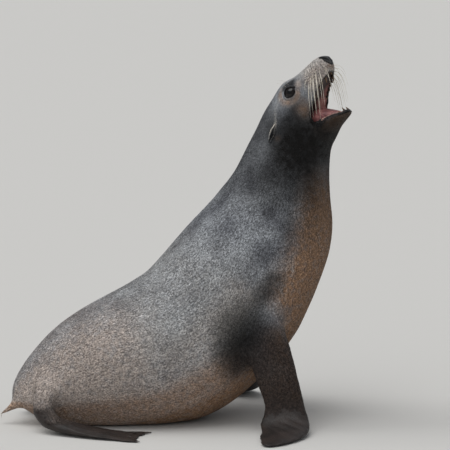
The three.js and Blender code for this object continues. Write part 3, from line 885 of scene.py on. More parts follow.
def markings(points, normals):
    """Each marking of the coat, painted shade and painted highlights among them, as a number from 0
    to 1 at every point of the skin.
    """
    h = in_head(points)
    head = on_both_sides(h)
    f, u = h[:, 0], h[:, 2]
    along, angle, *_ = on_body(points)
    along, turn = along * 1000, np.degrees(np.abs(angle))
    mm = points * 1000
    flat = on_both_sides(mm)
    warts = np.arange(len(h)) >= first_wart
    ears = (np.arange(len(h)) >= first_ear) & ~warts
    # The ears: painted shade inside and round them, and a painted highlight on their rear edge.
    slit, ear_highlight = ear_shade_and_highlight(h, normals @ HEAD_TURN, first_ear)
    made = mouth_marks(h, head, ears, warts)
    made.update(black_marks(h, made["lips"], slit))
    made.update(flipper_marks(mm, flat))

    from_eye = np.linalg.norm(head - EYE_CENTRE, axis=1)
    eye_ring = highest(
        ramp(from_eye, 22.5, 26) * ramp(from_eye, 40, 30) * ramp(u, 46, 26),
        ramp(from_eye, 24.5, 27.5) * ramp(from_eye, 44, 30) * ramp(f, 84, 66) * 0.7,
    )
    made["dark"] = dark_fur_and_shade(head, f, u, along, turn, flat, eye_ring)

    # Grizzled tan over the rump and the lower flank, round the eyes and on the muzzle.
    made["tan"] = highest(
        ramp(along, 860, 1080) * ramp(turn, 10, 60) * 0.6 + ramp(along, 950, 1180) * 0.4,
        0.85 * ramp(along, 760, 900) * ramp(turn, 75, 112),
        0.45 * ramp(along, 640, 700) * ramp(turn, 62, 84) * ramp(turn, 104, 90),
        0.85 * blot(head, (126, 50, 46), (17, 16, 24), 0.9),
        0.65 * eye_ring,
        0.75 * ramp(f, 125, 165),
    )
    # Rusty brown down the throat, breast and belly, on the jaw, the cheek by the mouth and the lip
    # under the nose, below the ears, and at the root of the flipper.
    made["rust"] = highest(
        ramp(turn, 88, 122) * ramp(along, 250, 400) * ramp(along, 720, 640),
        ramp(turn, 108, 138) * ramp(along, 560, 640) * ramp(along, 1250, 1000),
        0.85 * blot(flat, (255, 250, 225), (75, 75, 100), 0.8),
        0.6 * ramp(along, 780, 880) * ramp(turn, 96, 112),
        0.70 * blot(head, (96, 60, -22), (42, 30, 58)),
        0.5 * eye_ring,
        0.55 * blot(head, (214, 10, 27), (15, 18, 15), 0.8),
        0.6 * blot(head, *BELOW_EAR),
        0.95 * ramp(u, -60, -80) * ramp(f, 60, 110),
    )
    # Pale silver on the flank and the upper lip, and partly as painted highlight on top of the
    # bridge of the nose and along the crown; painted highlights in a streak from the brow down to
    # the ear and on the rear edge of the ears, cream where they are palest.
    made["pale"] = highest(
        0.42 * ramp(edge_distance(head, spline(BROW_HIGHLIGHT)), 7.0, 1.0),
        0.5 * ramp(f, 112, 150) * ramp(u, 36, 66),
        0.4 * ramp(f, 56, 100) * ramp(u, 50, 70) * ramp(head[:, 1], 36, 24),
        0.30 * ramp(along, 560, 720) * ramp(turn, 110, 70) * ramp(along, 1150, 950),
        0.8 * blot(head, (212, 14, 22), (10, 18, 8), 0.7),
        0.95 * ear_highlight,
    )
    made["cream_highlight"] = highest(
        0.9 * ear_highlight * ramp(f, -22, -6),
        0.5 * ramp(edge_distance(head, spline(BROW_HIGHLIGHT[4:])), 5.0, 1.5),
    )
    # The face is less grizzled than the body.
    made["face"] = ramp(along, 420, 240) * ramp(f, 165, 140)
    return made


marks = markings(points, normals)

# Each whisker stands on a small black swelling.
skin_tree = BVHTree.FromPolygons(
    [Vector(p) for p in h], [tuple(p.vertices) for p in skin_mesh.polygons]
)
WHISKERS = []
for side in SIDES:
    for f, u, row, k in whisker_roots():
        spot, way = pad_place(skin_tree, f, u, side)
        if spot is not None:
            WHISKERS.append((spot, way, side, row, k))
from_root = edge_distance(h, np.array([spot for spot, *_ in WHISKERS]))
marks["black"] = highest(marks["black"], 0.85 * ramp(from_root, 2.6, 0.9))
write(skin_mesh, points + normals * (0.0007 * ramp(from_root, 4.2, 1.2))[:, None])
points = read(skin_mesh)

# The lie of the coat: how far along the body, round it, and out from its middle each point is,
# evened out except across the step in the angle under the belly.
along, angle, out, run = on_body(points)
run = relax(run, skin_edges, 0.5, 12)
lie = np.stack([along, angle * (0.06 + 0.12 * ramp(along, 0.1, 0.6)), out], axis=1)
lie = relax(lie, skin_edges, 0.5 * ramp(np.abs(angle), 3.0, 2.8), 10)
keep(skin_mesh, "lie", lie)
for name, values in marks.items():
    keep(skin_mesh, name, values)


# ---- finishes -----------------------------------------------------------------------------------


def colour(code):
    """An sRGB hex colour as the linear one that the shader takes."""
    parts = [int(code[i : i + 2], 16) / 255 for i in (1, 3, 5)]
    linear = (c / 12.92 if c <= 0.04045 else ((c + 0.055) / 1.055) ** 2.4 for c in parts)
    return (*linear, 1.0)


def add(tree, kind, out=0, **values):
    """One node, and the output asked for. Lower-case names are its settings, the others its inputs,
    by name or by number, as values or links."""
    made = tree.nodes.new("ShaderNode" + kind)
    for name, value in values.items():
        if name.islower():
            setattr(made, name, value)
            continue
        socket = made.inputs[int(name[1:]) if name[0] == "_" else name.replace("_", " ")]
        if isinstance(value, bpy.types.NodeSocket):
            tree.links.new(value, socket)
        else:
            socket.default_value = value
    return made.outputs[out]


def new_finish(name, roughness=0.5, **fixed):
    """A material: what adds a node to it, and what links its shader and gives the material. What is
    the same all over goes on the shader's own sockets."""
    material = bpy.data.materials.new(name)
    material.use_nodes = True
    tree = material.node_tree
    sockets = tree.nodes["Principled BSDF"].inputs
    for key, value in dict(fixed, Roughness=roughness).items():
        sockets[key.replace("_", " ")].default_value = value

    def link(**values):
        """Links node outputs to the shader, by the names of its inputs, and gives the material."""
        for key, value in values.items():
            tree.links.new(value, sockets[key.replace("_", " ")])
        return material

    return partial(add, tree), link


def span(from_low, from_high, to_low=0.0, to_high=1.0):
    """Settings that turn one span of numbers into another."""
    return dict(From_Min=from_low, From_Max=from_high, To_Min=to_low, To_Max=to_high)


def grain(millimetres, detail):
    """Settings of noise whose spots are about that size."""
    return dict(Scale=1000 / millimetres / 1.6, Detail=detail)


COLOURS = dict(out=2, data_type="RGBA")  # settings that mix colours


def blotched(node, millimetres, detail, soft, low, high):
    """A darker and a lighter tone in blotches of about that size, with soft edges."""
    share = node("TexNoise", Vector=node("TexCoord", "Object"), **grain(millimetres, detail))
    share = node("MapRange", Value=share, **span(0.5 - soft, 0.5 + soft))
    return node("Mix", **COLOURS, _0=share, _6=colour(low), _7=colour(high))


def marked(node, base, layers):
    """A colour with others over it where the mesh is marked; each is a marking and its colour."""
    for which, code in layers:
        share = node("Attribute", "Fac", attribute_name=which)
        base = node("Mix", **COLOURS, _0=share, _6=base, _7=colour(code))
    return base


# Short guard hairs, damp and combed flat: grey with pale tips, so the coat looks speckled and
# satiny. The same colours go on the skin under it.
FUR = dict(
    silver="#989b9f",
    slate="#6b6d72",
    tan="#afa39b",
    rust="#94765e",
    # The dark is dark wet fur, and where it is deepest it is painted shade.
    dark="#0c0a09",
    pale="#c4c1bc",
    wrist="#2f2724",
    # The cream is a painted highlight.
    cream_highlight="#ddd3c4",
    hide="#2a2320",
    black="#0b0a0a",
)
MARKINGS = tuple(FUR)[2:]
RAGGED = ("tan", "rust", "pale")
# Cells of the hair pattern to a metre: along the body, round it and outwards. A hair is drawn some
# 7 mm long and 2 mm wide, coarser than it is, or it would not show.
HAIRS = (150.0, 520.0, 300.0)
# Streaks on the tongue to a millimetre: 20 mm long and 2 mm wide.
STREAKS = (0.05, 0.5, 0.12)
# The lining: painted shade makes it near black on the roof, it is red in the throat, painted light
# makes it pale on the cheeks, and the gums are pale.
LINING = (
    ("shaded_roof", "#1c1210"),
    ("deep", "#451417"),
    ("lit_cheek", "#d09690"),
    ("gum", "#cfa598"),
    ("lips", "#0b0909"),
)


def coat_finish(name, locks):
    """The fur, for its locks or for the skin between them: patches, markings and grizzled hairs.
    The black skin is wet."""
    node, link = new_finish(
        name, 0.5, Sheen_Weight=0.03, Sheen_Roughness=0.5, Specular_IOR_Level=0.18
    )
    base = blotched(node, 45, 3, 0.14, FUR["slate"], FUR["silver"])
    where = node("TexCoord", "Object")
    small = node("TexNoise", Vector=where, **grain(9, 2))
    ragged = node("MapRange", Value=small, **span(0.3, 0.7, 0.65, 1.3))
    even = node("MapRange", Value=small, **span(0.3, 0.7, 0.97, 1.06))
    for which in MARKINGS:
        share = node("Attribute", "Fac", attribute_name=which)
        if which in RAGGED + ("dark",):
            broken = ragged if which in RAGGED else even
            share = node("Math", operation="MULTIPLY", use_clamp=True, _0=share, _1=broken)
        base = node("Mix", **COLOURS, _0=share, _6=base, _7=colour(FUR[which]))
    if locks:
        lock = node("Attribute", "Fac", attribute_name="lock")
        lock = node("MapRange", Value=lock, **span(0, 1, 0.55, 1.5))
        tip = node("Attribute", "Fac", attribute_name="tip")
        tip = node("MapRange", Value=tip, **span(0, 1, 0.75, 1.15))
        light = node("Math", operation="MULTIPLY", _0=lock, _1=tip)
    else:
        lie = node("Attribute", "Vector", attribute_name="lie")
        lie = node("Mapping", Vector=lie, Scale=HAIRS)
        hairs = node("TexNoise", Vector=lie, Scale=1.0, Detail=3.0)
        light = node("MapRange", Value=hairs, **span(0.3, 0.7, 0.5, 1.35))
        link(Normal=node("Bump", Strength=0.5, Distance=0.0005, Height=hairs))
    grizzle = node("TexNoise", Vector=where, **grain(2.6, 2))
    grizzle = node("MapRange", Value=grizzle, **span(0.36, 0.64, 0.6, 1.46))
    calm = node("Attribute", "Fac", attribute_name="face")
    calm = node("MapRange", Value=calm, **span(0, 1, 0, 0.65))
    grizzle = node("Mix", data_type="FLOAT", _0=calm, _2=grizzle, _3=1.0)
    light = node("Math", operation="MULTIPLY", _0=light, _1=grizzle)
    wet = node("Attribute", "Fac", attribute_name="black")
    return link(
        Base_Color=node("HueSaturation", Color=base, Value=light),
        Roughness=node("MapRange", Value=wet, **span(0, 1, 0.5, 0.2)),
    )


def mouth_finish(name, low, high, tongue=False):
    """Wet mucous membrane, grey-pink and blotched, with small bumps that break its gloss."""
    node, link = new_finish(
        name, 0.36, Specular_IOR_Level=0.3, Coat_Weight=0.08, Coat_Roughness=0.2
    )
    base = blotched(node, 12, 3, 0.15, low, high)
    bumps = node("TexNoise", Vector=node("TexCoord", "Object"), **grain(2.8, 3))
    if tongue:
        lick = node("Attribute", "Vector", attribute_name="lick")
        lick = node("Mapping", Vector=lick, Scale=STREAKS)
        streaks = node("TexNoise", Vector=lick, Scale=1.0, Detail=3.0)
        share = node("MapRange", Value=streaks, **span(0.35, 0.6, 0.6, 0))
        base = node("Mix", **COLOURS, _0=share, _6=base, _7=colour("#4c2a2b"))
        bumps = node("Math", operation="ADD", _0=bumps, _1=streaks)
    else:
        base = marked(node, base, LINING)
        lips = node("Attribute", "Fac", attribute_name="lips")
        link(Roughness=node("MapRange", Value=lips, **span(0, 1, 0.36, 0.5)))
    return link(
        Base_Color=base, Normal=node("Bump", Strength=0.8, Distance=0.0010, Height=bumps)
    )


def leather_finish(name, low, high, cell, roughness, depth, holes=()):
    """Bare skin: black to brown, in small flat cells with creases between them."""
    node, link = new_finish(name, roughness, Specular_IOR_Level=0.45)
    base = marked(node, blotched(node, 30, 4, 0.15, low, high), holes)
    where = node("TexCoord", "Object")
    cells = node("TexVoronoi", feature="DISTANCE_TO_EDGE", Vector=where, Scale=1000 / cell)
    creases = node("MapRange", Value=cells, **span(0, 0.18))
    return link(
        Base_Color=base, Normal=node("Bump", Strength=0.7, Distance=depth, Height=creases)
    )


def eye_finish():
    """A wet dark eye: near-black iris with brown threads, black pupil, and a clear hard gloss."""
    node, link = new_finish("wet_dark_eye", 0.07, Specular_IOR_Level=0.35)
    threads = node("TexNoise", Vector=node("TexCoord", "Object"), **grain(1.6, 2))
    iris = node("Mix", **COLOURS, _0=threads, _6=colour("#080504"), _7=colour("#170e09"))
    ring = node("Attribute", "Fac", attribute_name="ring")
    share = node("MapRange", Value=ring, **span(15, 18))
    base = node("Mix", **COLOURS, _0=share, _6=colour("#020202"), _7=iris)
    share = node("MapRange", Value=ring, **span(33, 38))
    return link(Base_Color=node("Mix", **COLOURS, _0=share, _6=base, _7=colour("#060505")))


def tooth_finish():
    """Enamel, hard and glossy, ivory at the tip and stained nearly black from the gum up."""
    node, link = new_finish("stained_enamel", 0.22, Specular_IOR_Level=0.5)
    streaks = node("TexNoise", Vector=node("TexCoord", "Object"), **grain(3, 3))
    ivory = node("Mix", **COLOURS, _0=streaks, _6=colour("#4a3624"), _7=colour("#86694a"))
    uneven = node("MapRange", Value=streaks, **span(0, 1, -0.25, 0.25))
    clean = node("Attribute", "Fac", attribute_name="crown")
    clean = node("Math", operation="ADD", _0=clean, _1=uneven)
    clean = node("MapRange", Value=clean, **span(0.25, 0.9))
    return link(Base_Color=node("Mix", **COLOURS, _0=clean, _6=colour("#21160f"), _7=ivory))


def horn_finish(name, low, high, roughness, streak):
    """Horn: smooth and a little clear, streaked along its growth."""
    node, link = new_finish(name, roughness, Specular_IOR_Level=0.45)
    return link(Base_Color=blotched(node, streak, 3, 0.2, low, high))


coat_on_skin = coat_finish("short_grey_fur_bed", False)
coat_on_locks = coat_finish("short_grey_fur_locks", True)
mouth_lining = mouth_finish("wet_mouth_lining", "#765049", "#97726a")
tongue_skin = mouth_finish("wet_tongue", "#7c4e4f", "#a6706c", True)
# The nostrils are painted black as shade on the leather.
nose_hide = leather_finish(
    "black_nose_leather", "#1b1b1d", "#343336", 1.6, 0.34, 0.0004, [("shaded_nostril", "#030303")]
)
flipper_hide = leather_finish("dark_flipper_hide", "#1c1613", "#2f2622", 5.0, 0.5, 0.0006)


def lining_marks(h, inward):
    """Painted shade on the roof of the mouth, its depth, and painted light on the inside of the
    cheeks, for its lining.
    """
    # Painted shade on the roof and just behind the front teeth.
    shaded_roof = ramp(-inward[:, 2], 0.35, 0.75) * ramp(h[:, 2] - 0.55 * (h[:, 0] - 130), -40, -20)
    front = 0.8 * ramp(h[:, 0], 182, 192) * (h[:, 2] > -30)
    head = on_both_sides(h)
    return {
        "shaded_roof": 0.9 * np.clip(shaded_roof + front, 0, 1),
        "deep": ramp(h[:, 0], 100, 58),
        # Painted light: the inside of the cheeks paler pink, as if lit.
        "lit_cheek": highest(
            0.9 * blot(head, (108, 44, -22), (36, 26, 44), 0.7),
            0.5 * blot(head, (146, 37, -6), (46, 18, 32), 0.8),
        ),
    }


for name, values in lining_marks(h, normals @ HEAD_TURN).items():
    keep(skin_mesh, name, values)
skin_finishes = (coat_on_skin, mouth_lining, nose_hide, flipper_hide)
piece("skin", skin_mesh, "coat", *skin_finishes, replaces=FLESH)
# Each face takes its finish from the markings at its first corner.
first = read(skin_mesh, "loops", "vertex_index", 1).ravel()
first = first[read(skin_mesh, "polygons", "loop_start", 1).ravel()]
finish = np.zeros(len(first), np.int32)
for number, which, least in ((3, "hide", 0.97), (2, "nose", 0.8), (1, "mouth", 0.5)):
    finish[marks[which][first] > least] = number
skin_mesh.polygons.foreach_set("material_index", finish)


# ---- the coat -----------------------------------------------------------------------------------

# Across, along and up, all 0 to 1: the root, the two sides and the top of a lock, and its tip.
LOCK = ((0, 0, 0), (-0.5, 0.4, 0.1), (0.5, 0.4, 0.1), (0, 0.42, 1), (0, 1, 0.75))
# Millimetres: the length of the locks by how far along the body they grow, in metres, and the
# longest they may be by the distance from the middle of an eye, of an ear, and from the nose.
LONG_ALONG = ([0.0, 0.06, 0.14, 0.28, 0.45, 0.7, 1.3], [3.2, 4.2, 5.5, 7.5, 9.5, 11.0, 11.0])
LONG_BY_EYE = ([24, 50, 60], [3.2, 8, 99])
LONG_BY_EAR = ([26, 45, 55], [3.4, 9, 99])
LONG_BY_NOSE = ([1.0, 1.5, 2.0], [1.8, 4.0, 99])
WIDE_BY_LONG = ([1.8, 3, 6, 9, 12], [0.5, 0.72, 1.1, 1.4, 1.75])
COVER = 1.5  # how many times over the locks cover the skin
LOCKS_IN_A_PIECE = 32000


def lock_template():
    """One flat lock of hair as a closed shape of five points."""
    bm = bmesh.new()
    for spot in LOCK:
        bm.verts.new(spot)
    bmesh.ops.convex_hull(bm, input=bm.verts[:])
    bmesh.ops.recalc_face_normals(bm, faces=bm.faces)
    bm.verts.index_update()
    spots = np.array([v.co for v in bm.verts])
    faces = np.array([[v.index for v in f.verts] for f in bm.faces])
    bm.free()
    return spots, faces


def scatter(number):
    """Roots spread evenly over the skin, by how many a square metre: the triangle of each, and its
    shares of the corners."""
    skin_mesh.calc_loop_triangles()
    tris = read(skin_mesh, "loop_triangles", "vertices", 3)
    a, b, c = (points[tris[:, k]] for k in range(3))
    area = np.linalg.norm(np.cross(b - a, c - a), axis=1) / 2
    wanted = area * number[tris].mean(axis=1)
    total = wanted.sum()
    count = int(total)
    steps = (np.arange(count) + rng.random(count)) * (total / count)
    picks = np.searchsorted(np.cumsum(wanted), steps).clip(0, len(tris) - 1)
    s, t = rng.random(count), rng.random(count)
    flip = s + t > 1
    s[flip], t[flip] = 1 - s[flip], 1 - t[flip]
    return tris[picks], np.stack([1 - s - t, s, t], axis=1)


def lock_sizes(points, h, along):
    """Length and width of the locks at each point, in metres, and how many grow on a square metre.
    They are smallest on the muzzle, and none grow on bare skin or under the body."""
    hide = marks["hide"]
    eye = np.minimum.reduce([np.linalg.norm(h - np.array(spot), axis=1) for spot in EYES])
    ear = np.minimum.reduce([np.linalg.norm(h - np.array(spot), axis=1) for spot in EARS])
    nose = np.linalg.norm((h - NOSE_MIDDLE) / NOSE_REACH, axis=1)
    length = np.minimum.reduce(
        [
            np.interp(along, *LONG_ALONG),
            np.interp(eye, *LONG_BY_EYE),
            np.interp(ear, *LONG_BY_EAR),
            np.interp(nose, *LONG_BY_NOSE),
        ]
    )
    length = length * (1 - 0.55 * hide)
    width = np.interp(length, *WIDE_BY_LONG)
    number = COVER / (length * width * 1e-6) * ramp(hide, 0.9, 0.1)
    number = number * ramp(marks["black"], 0.35, 0.1) * (marks["mouth"] < 0.2)
    return length / 1000, width / 1000, number * (points[:, 2] > 0.004)


def combed(points, normals, run):
    """The way the hairs lie: back along the body, and down the limbs."""
    x, out, up = on_both_sides(points * 1000).T
    side = np.sign(points[:, 1])
    fore = ramp(up, 330, 230) * ramp(out, 185, 215) * ramp(x, 120, 160)
    hind = ramp(x, -300, -360) * ramp(up, 130, 90) * ramp(out, 80, 110)
    way = run
    for limb, forward, outward in ((fore, 0.15, 0.25), (hind, 0.0, 0.4)):
        down = np.stack([np.full(len(x), forward), side * outward, np.full(len(x), -1.0)], axis=1)
        way = way * (1 - limb)[:, None] + down * limb[:, None]
    return unit(way - normals * np.sum(way * normals, axis=1, keepdims=True))


def make_coat():
    """Locks over all the furred skin, with its markings, in pieces from nose to tail."""
    normals = read(skin_mesh, "vertex_normals", "vector")
    lie = combed(points, normals, run)
    length, width, number = lock_sizes(points, in_head(points), along)
    corners, shares = scatter(number * (1.0))

    def at_root(values):
        """Values of the skin where each lock grows."""
        weights = shares if values.ndim == 1 else shares[:, :, None]
        return np.sum(values[corners] * weights, axis=1)

    count = len(corners)
    spots, faces = lock_template()
    root, up, way = at_root(points), unit(at_root(normals)), at_root(lie)
    yaw = rng.normal(0, 0.16, count)
    way = way * np.cos(yaw)[:, None] + np.cross(way, up) * np.sin(yaw)[:, None]
    way = unit(way - up * np.sum(way * up, axis=1, keepdims=True))
    across = np.cross(way, up)
    size = rng.uniform(0.75, 1.25, count)
    long, wide = at_root(length) * size, at_root(width) * rng.uniform(0.8, 1.2, count)
    thick = wide * 0.2
    lift = long * rng.uniform(0.02, 0.08, count)
    x, y, z = spots.T
    high = z * thick[:, None] + y * lift[:, None] - 0.25 * thick[:, None]
    made = (
        root[:, None, :]
        + across[:, None, :] * (x * wide[:, None])[:, :, None]
        + way[:, None, :] * (y * long[:, None])[:, :, None]
        + up[:, None, :] * high[:, :, None]
    )
    made[:, :, 2] = np.maximum(made[:, :, 2], 0.0005)
    values = {name: at_root(marks[name]) for name in MARKINGS + ("face",)}
    values["lock"] = rng.random(count)
    far, turn = at_root(along), np.arctan2(at_root(np.sin(angle)), at_root(np.cos(angle)))

    order = np.argsort(far)
    for number_of, start in enumerate(range(0, count, LOCKS_IN_A_PIECE)):
        part = order[start : start + LOCKS_IN_A_PIECE]
        part_values = {name: each[part] for name, each in values.items()}
        name = f"coat_{number_of + 1}"
        tufts_mesh(name, made[part], faces, spots, part_values, far[part], turn[part])


def tufts_mesh(name, places, faces, spots, values, far, turn):
    """Many locks joined as one mesh, with the root's markings on every point of a lock, and a map
    on which each lock is a small patch at its root's place: round the body across, along it up."""
    count, each = places.shape[:2]
    mesh = bpy.data.meshes.new(name)
    mesh.vertices.add(count * each)
    mesh.loops.add(count * faces.size)
    mesh.polygons.add(count * len(faces))
    whole = (faces.ravel()[None, :] + each * np.arange(count)[:, None]).ravel()
    mesh.loops.foreach_set("vertex_index", whole.astype(np.int32))
    mesh.polygons.foreach_set("loop_start", np.arange(0, len(whole), 3, dtype=np.int32))
    write(mesh, places.reshape(-1, 3))
    for key, each_lock in values.items():
        keep(mesh, key, np.repeat(each_lock, each))
    keep(mesh, "tip", np.tile(spots[:, 1], count))
    spread = (far - far.min()) / max(np.ptp(far), 1e-6)
    place = np.stack([turn / (2 * np.pi) + 0.5, spread], axis=1) * 0.99 + 0.005
    patch = 0.003 * (spots[:, :2] - (0, 0.5))
    flat = (place[:, None, :] + patch[None, :, :]).reshape(-1, 2)
    layer = mesh.uv_layers.new(name="OFBake")
    layer.data.foreach_set("uv", flat[whole].astype(np.float32).ravel())
    mesh.validate()
    piece(name, mesh, "coat", coat_on_locks)


# ---- eyes, tongue, teeth, whiskers and nails ----------------------------------------------------


def make_eyes():
    """Eyeballs with a slightly domed front, marked in degrees from the middle of the pupil."""
    finish = eye_finish()
    for name, side in (("right", -1), ("left", 1)):
        look = Vector((EYE_LOOK[0], side * EYE_LOOK[1], EYE_LOOK[2]))
        centre = (EYE_CENTRE[0], side * EYE_CENTRE[1], EYE_CENTRE[2])
        bm = bmesh.new()
        bmesh.ops.create_uvsphere(bm, u_segments=48, v_segments=32, radius=EYE_RADIUS)
        rings = [math.degrees(v.co.angle(Vector((0, 0, 1)))) for v in bm.verts]
        for v, ring in zip(bm.verts, rings):
            v.co *= 1 + 0.035 * float(ramp(ring, 34, 6))
        bmesh.ops.rotate(bm, verts=bm.verts, matrix=look.to_track_quat("Z", "Y").to_matrix())
        bmesh.ops.translate(bm, verts=bm.verts, vec=centre)
        mesh = head_mesh(bm, f"eyeball_{name}")
        keep(mesh, "ring", np.array(rings))
        piece(f"eyeball_{name}", mesh, "eye", finish, replaces=[f"eye_{name}"])


def tube(bm, path, radii, sides):
    """A closed tube along a line of points, with its radius at each."""
    path = [Vector(p) for p in path]
    bmesh.ops.create_circle(bm, cap_ends=True, segments=sides, radius=1.0)
    bm.faces.ensure_lookup_table()
    face = bm.faces[-1]
    for i, (spot, radius) in enumerate(zip(path, radii)):
        if i:
            made = bmesh.ops.extrude_face_region(bm, geom=[face])["geom"]
            face = next(g for g in made if isinstance(g, bmesh.types.BMFace))
        ahead = (path[min(i + 1, len(path) - 1)] - path[max(i - 1, 0)]).normalized()
        across = ahead.cross(Vector((0.36, 0.81, 0.46))).normalized()
        over = ahead.cross(across)
        for k, v in enumerate(face.verts):
            turn = math.tau * k / sides
            v.co = spot + (across * math.cos(turn) + over * math.sin(turn)) * radius


def make_tongue():
    """A broad thick tongue with a groove down its middle, risen at its root."""
    mesh = remeshed(finish_bmesh(merged(["tongue"]), "tongue"), 0.003)
    spots = relax(read(mesh), read(mesh, "edges", "vertices", 2), 0.5, 22)
    write(mesh, spots)
    way = read(mesh, "vertex_normals", "vector")
    top = ramp((way @ HEAD_TURN)[:, 2], 0.2, 0.8)
    groove = np.exp(-((in_head(spots)[:, 1] / 4.5) ** 2))
    write(mesh, spots + way * (0.0012 - 0.003 * groove * top)[:, None])
    keep(mesh, "lick", in_head(spots))
    piece("tongue_soft", mesh, "mouth", tongue_skin, replaces=["tongue"])


# Rings of a tooth, from inside the gum to the tip: their place and width, as shares of the whole.
TOOTH_PLACES = (-0.3, -0.05, 0.12, 0.3, 0.5, 0.68, 0.84, 0.95, 1.04)
TOOTH_WIDTHS = (1.0, 1.08, 1.02, 0.92, 0.76, 0.57, 0.37, 0.2, 0.05)
TOOTH_SIDES = 10


def make_teeth():
    """Cones bent a little backwards with a swollen neck: long canines, short stout cheek teeth."""
    finish = tooth_finish()
    for name, rows, up, lean in (
        ("upper_teeth", UPPER_TEETH, -1, -0.21),
        ("lower_teeth", LOWER_TEETH, 1, 0.14),
    ):
        bm = bmesh.new()
        for side in SIDES:
            for f, out, root, long, radius in rows:
                path = []
                for s in TOOTH_PLACES:
                    back, apart = lean * s - 0.16 * s * s, 0.04 * long * s
                    path.append((f + long * back, side * (out + apart), root + up * long * s))
                tube(bm, path, [radius * 1.08 * width for width in TOOTH_WIDTHS], TOOTH_SIDES)
        bmesh.ops.recalc_face_normals(bm, faces=bm.faces)
        mesh = head_mesh(bm, name)
        crown = np.tile(np.repeat(TOOTH_PLACES, TOOTH_SIDES), len(SIDES) * len(rows))
        keep(mesh, "crown", crown.clip(0, 1))
        piece(name, mesh, "tooth", finish)


# Millimetres: the length of the whiskers by row from the top, and shares of it by place from the
# nose.
WHISKER_LENGTHS = (10, 13, 30, 84, 126, 110)
WHISKER_SHARES = (0.55, 0.85, 1.0, 1.05, 0.95, 0.7, 0.5)
WHISKER_STEPS = 9
WHISKER_SIDES = 5
BROW_HAIRS = ((98, 64, 46), (90, 63, 34))  # forward, up and length
BROW_STEPS = 8


def make_whiskers():
    """Stiff pale bristles, thick at the root, that leave the pad outwards and then hang back and
    down. The long ones grow in the lower rows; a few fine ones stand over each eye."""
    bristle = horn_finish("pale_whisker_horn", "#cfc4ae", "#efe9dc", 0.4, 20)
    down = np.array((-0.54, 0, -0.84))
    bm = bmesh.new()
    for spot, normal, side, row, k in WHISKERS:
        long = WHISKER_LENGTHS[row] * WHISKER_SHARES[k] * rng.uniform(0.85, 1.12)
        thick = 0.28 + 0.40 * min(long / 110, 1)
        out = normal * rng.uniform(0.9, 1.1)
        out = out + np.array((0.35 - 0.1 * k, 0, rng.uniform(-0.1, 0.2)))
        bend = rng.uniform(20, 30)
        path = [spot - normal * 1.5]
        for i in range(WHISKER_STEPS):
            hang = 1 - math.exp(-(i + 0.5) * long / WHISKER_STEPS / bend)
            falling = down + np.array((0, side * rng.uniform(0.02, 0.10), 0))
            way = out * (1 - hang) + falling * hang
            path.append(path[-1] + way / np.linalg.norm(way) * long / WHISKER_STEPS)
        radii = [thick * (1 - 0.8 * (i / WHISKER_STEPS) ** 1.4) for i in range(WHISKER_STEPS + 1)]
        tube(bm, path, radii, WHISKER_SIDES)
    for side in SIDES:
        for f, u, long in BROW_HAIRS:
            spot, normal = pad_place(skin_tree, f, u, side)
            if spot is not None:
                back = np.array((-0.35, 0, -0.1)) * long
                places = np.linspace(-0.03, 1, BROW_STEPS)
                path = [spot + normal * long * t + back * t * t for t in places]
                radii = 0.42 - 0.3 * np.linspace(0, 1, BROW_STEPS)
                tube(bm, path, radii.tolist(), WHISKER_SIDES)
    bmesh.ops.recalc_face_normals(bm, faces=bm.faces)
    piece("whiskers", head_mesh(bm, "whiskers"), "whisker", bristle)


def finish_nails():
    """Small dark nails set back on the hind flippers."""
    horn = horn_finish("dark_nail_horn", "#1b1613", "#3d332c", 0.35, 4)
    for name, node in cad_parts.items():
        if name.startswith("nail_"):
            node.data.materials.clear()
            node.data.materials.append(horn)


make_coat()
make_eyes()
make_tongue()
make_teeth()
make_whiskers()
finish_nails()


# ---- the studio ---------------------------------------------------------------------------------

AIM = (0.1508, 0, 0.53075)
AZIMUTH, ELEVATION = math.radians(-12), math.radians(7)
CAMERA_FAR, SEEN_WIDTH, SENSOR = 7.5, 1.2375, 36
FLOOR_RADIUS = 60
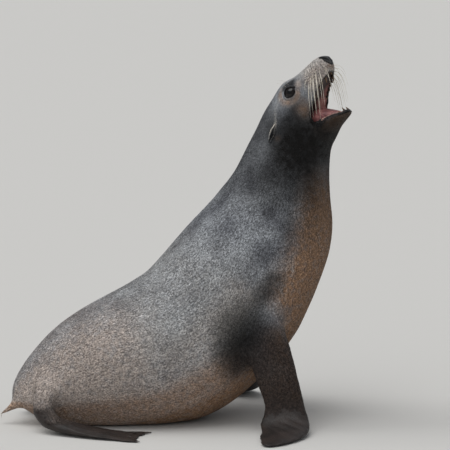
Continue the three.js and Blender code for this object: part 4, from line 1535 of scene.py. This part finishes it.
# Soft lights: strength, how many degrees wide, and the way each shines.
LIGHTS = {
    "top": (1.5, 50, (0.25, 0.1, -1.0)),
    "back_left": (0.9, 40, (1.0, -0.5, -0.8)),
    "front_left": (0.55, 50, (0.6, 0.9, -0.6)),
}


def studio():
    """The camera, a pale floor, a pale world and three soft lights."""
    scene = bpy.context.scene
    scene.view_settings.view_transform = "Standard"
    camera_data = bpy.data.cameras.new("camera")
    camera = bpy.data.objects.new("camera", camera_data)
    scene.collection.objects.link(camera)
    level = math.cos(ELEVATION)
    way = Vector((math.sin(AZIMUTH) * level, -math.cos(AZIMUTH) * level, math.sin(ELEVATION)))
    camera.location = Vector(AIM) + way * CAMERA_FAR
    camera.rotation_euler = (-way).to_track_quat("-Z", "Y").to_euler()
    camera_data.sensor_width = SENSOR
    camera_data.lens = SENSOR * CAMERA_FAR / SEEN_WIDTH
    camera_data.clip_end = 200
    scene.camera = camera

    bm = bmesh.new()
    bmesh.ops.create_circle(bm, cap_ends=True, segments=64, radius=FLOOR_RADIUS)
    floor = bpy.data.objects.new("floor", finish_bmesh(bm, "floor"))
    scene.collection.objects.link(floor)
    _, link = new_finish("pale_floor", 0.85, Base_Color=colour("#c6c4c0"))
    floor.data.materials.append(link())

    # The far edge of the floor meets a backdrop of the same tone.
    world = bpy.data.worlds.new("studio")
    scene.world = world
    world.use_nodes = True
    tree = world.node_tree
    sky = tree.nodes["Background"].inputs
    seen = add(tree, "LightPath", "Is Camera Ray")
    tone = add(tree, "Mix", **COLOURS, _0=seen, _6=colour("#e9edf2"), _7=colour("#e6e5e1"))
    tree.links.new(tone, sky["Color"])
    tree.links.new(add(tree, "MapRange", Value=seen, **span(0, 1, 0.42, 0.74)), sky["Strength"])
    for name, (strength, wide, shine) in LIGHTS.items():
        data = bpy.data.lights.new(name, "SUN")
        data.energy = strength
        data.angle = math.radians(wide)
        lamp = bpy.data.objects.new(name, data)
        scene.collection.objects.link(lamp)
        lamp.visible_glossy = name == "top"
        lamp.rotation_euler = Vector(shine).to_track_quat("-Z", "Y").to_euler()


studio()
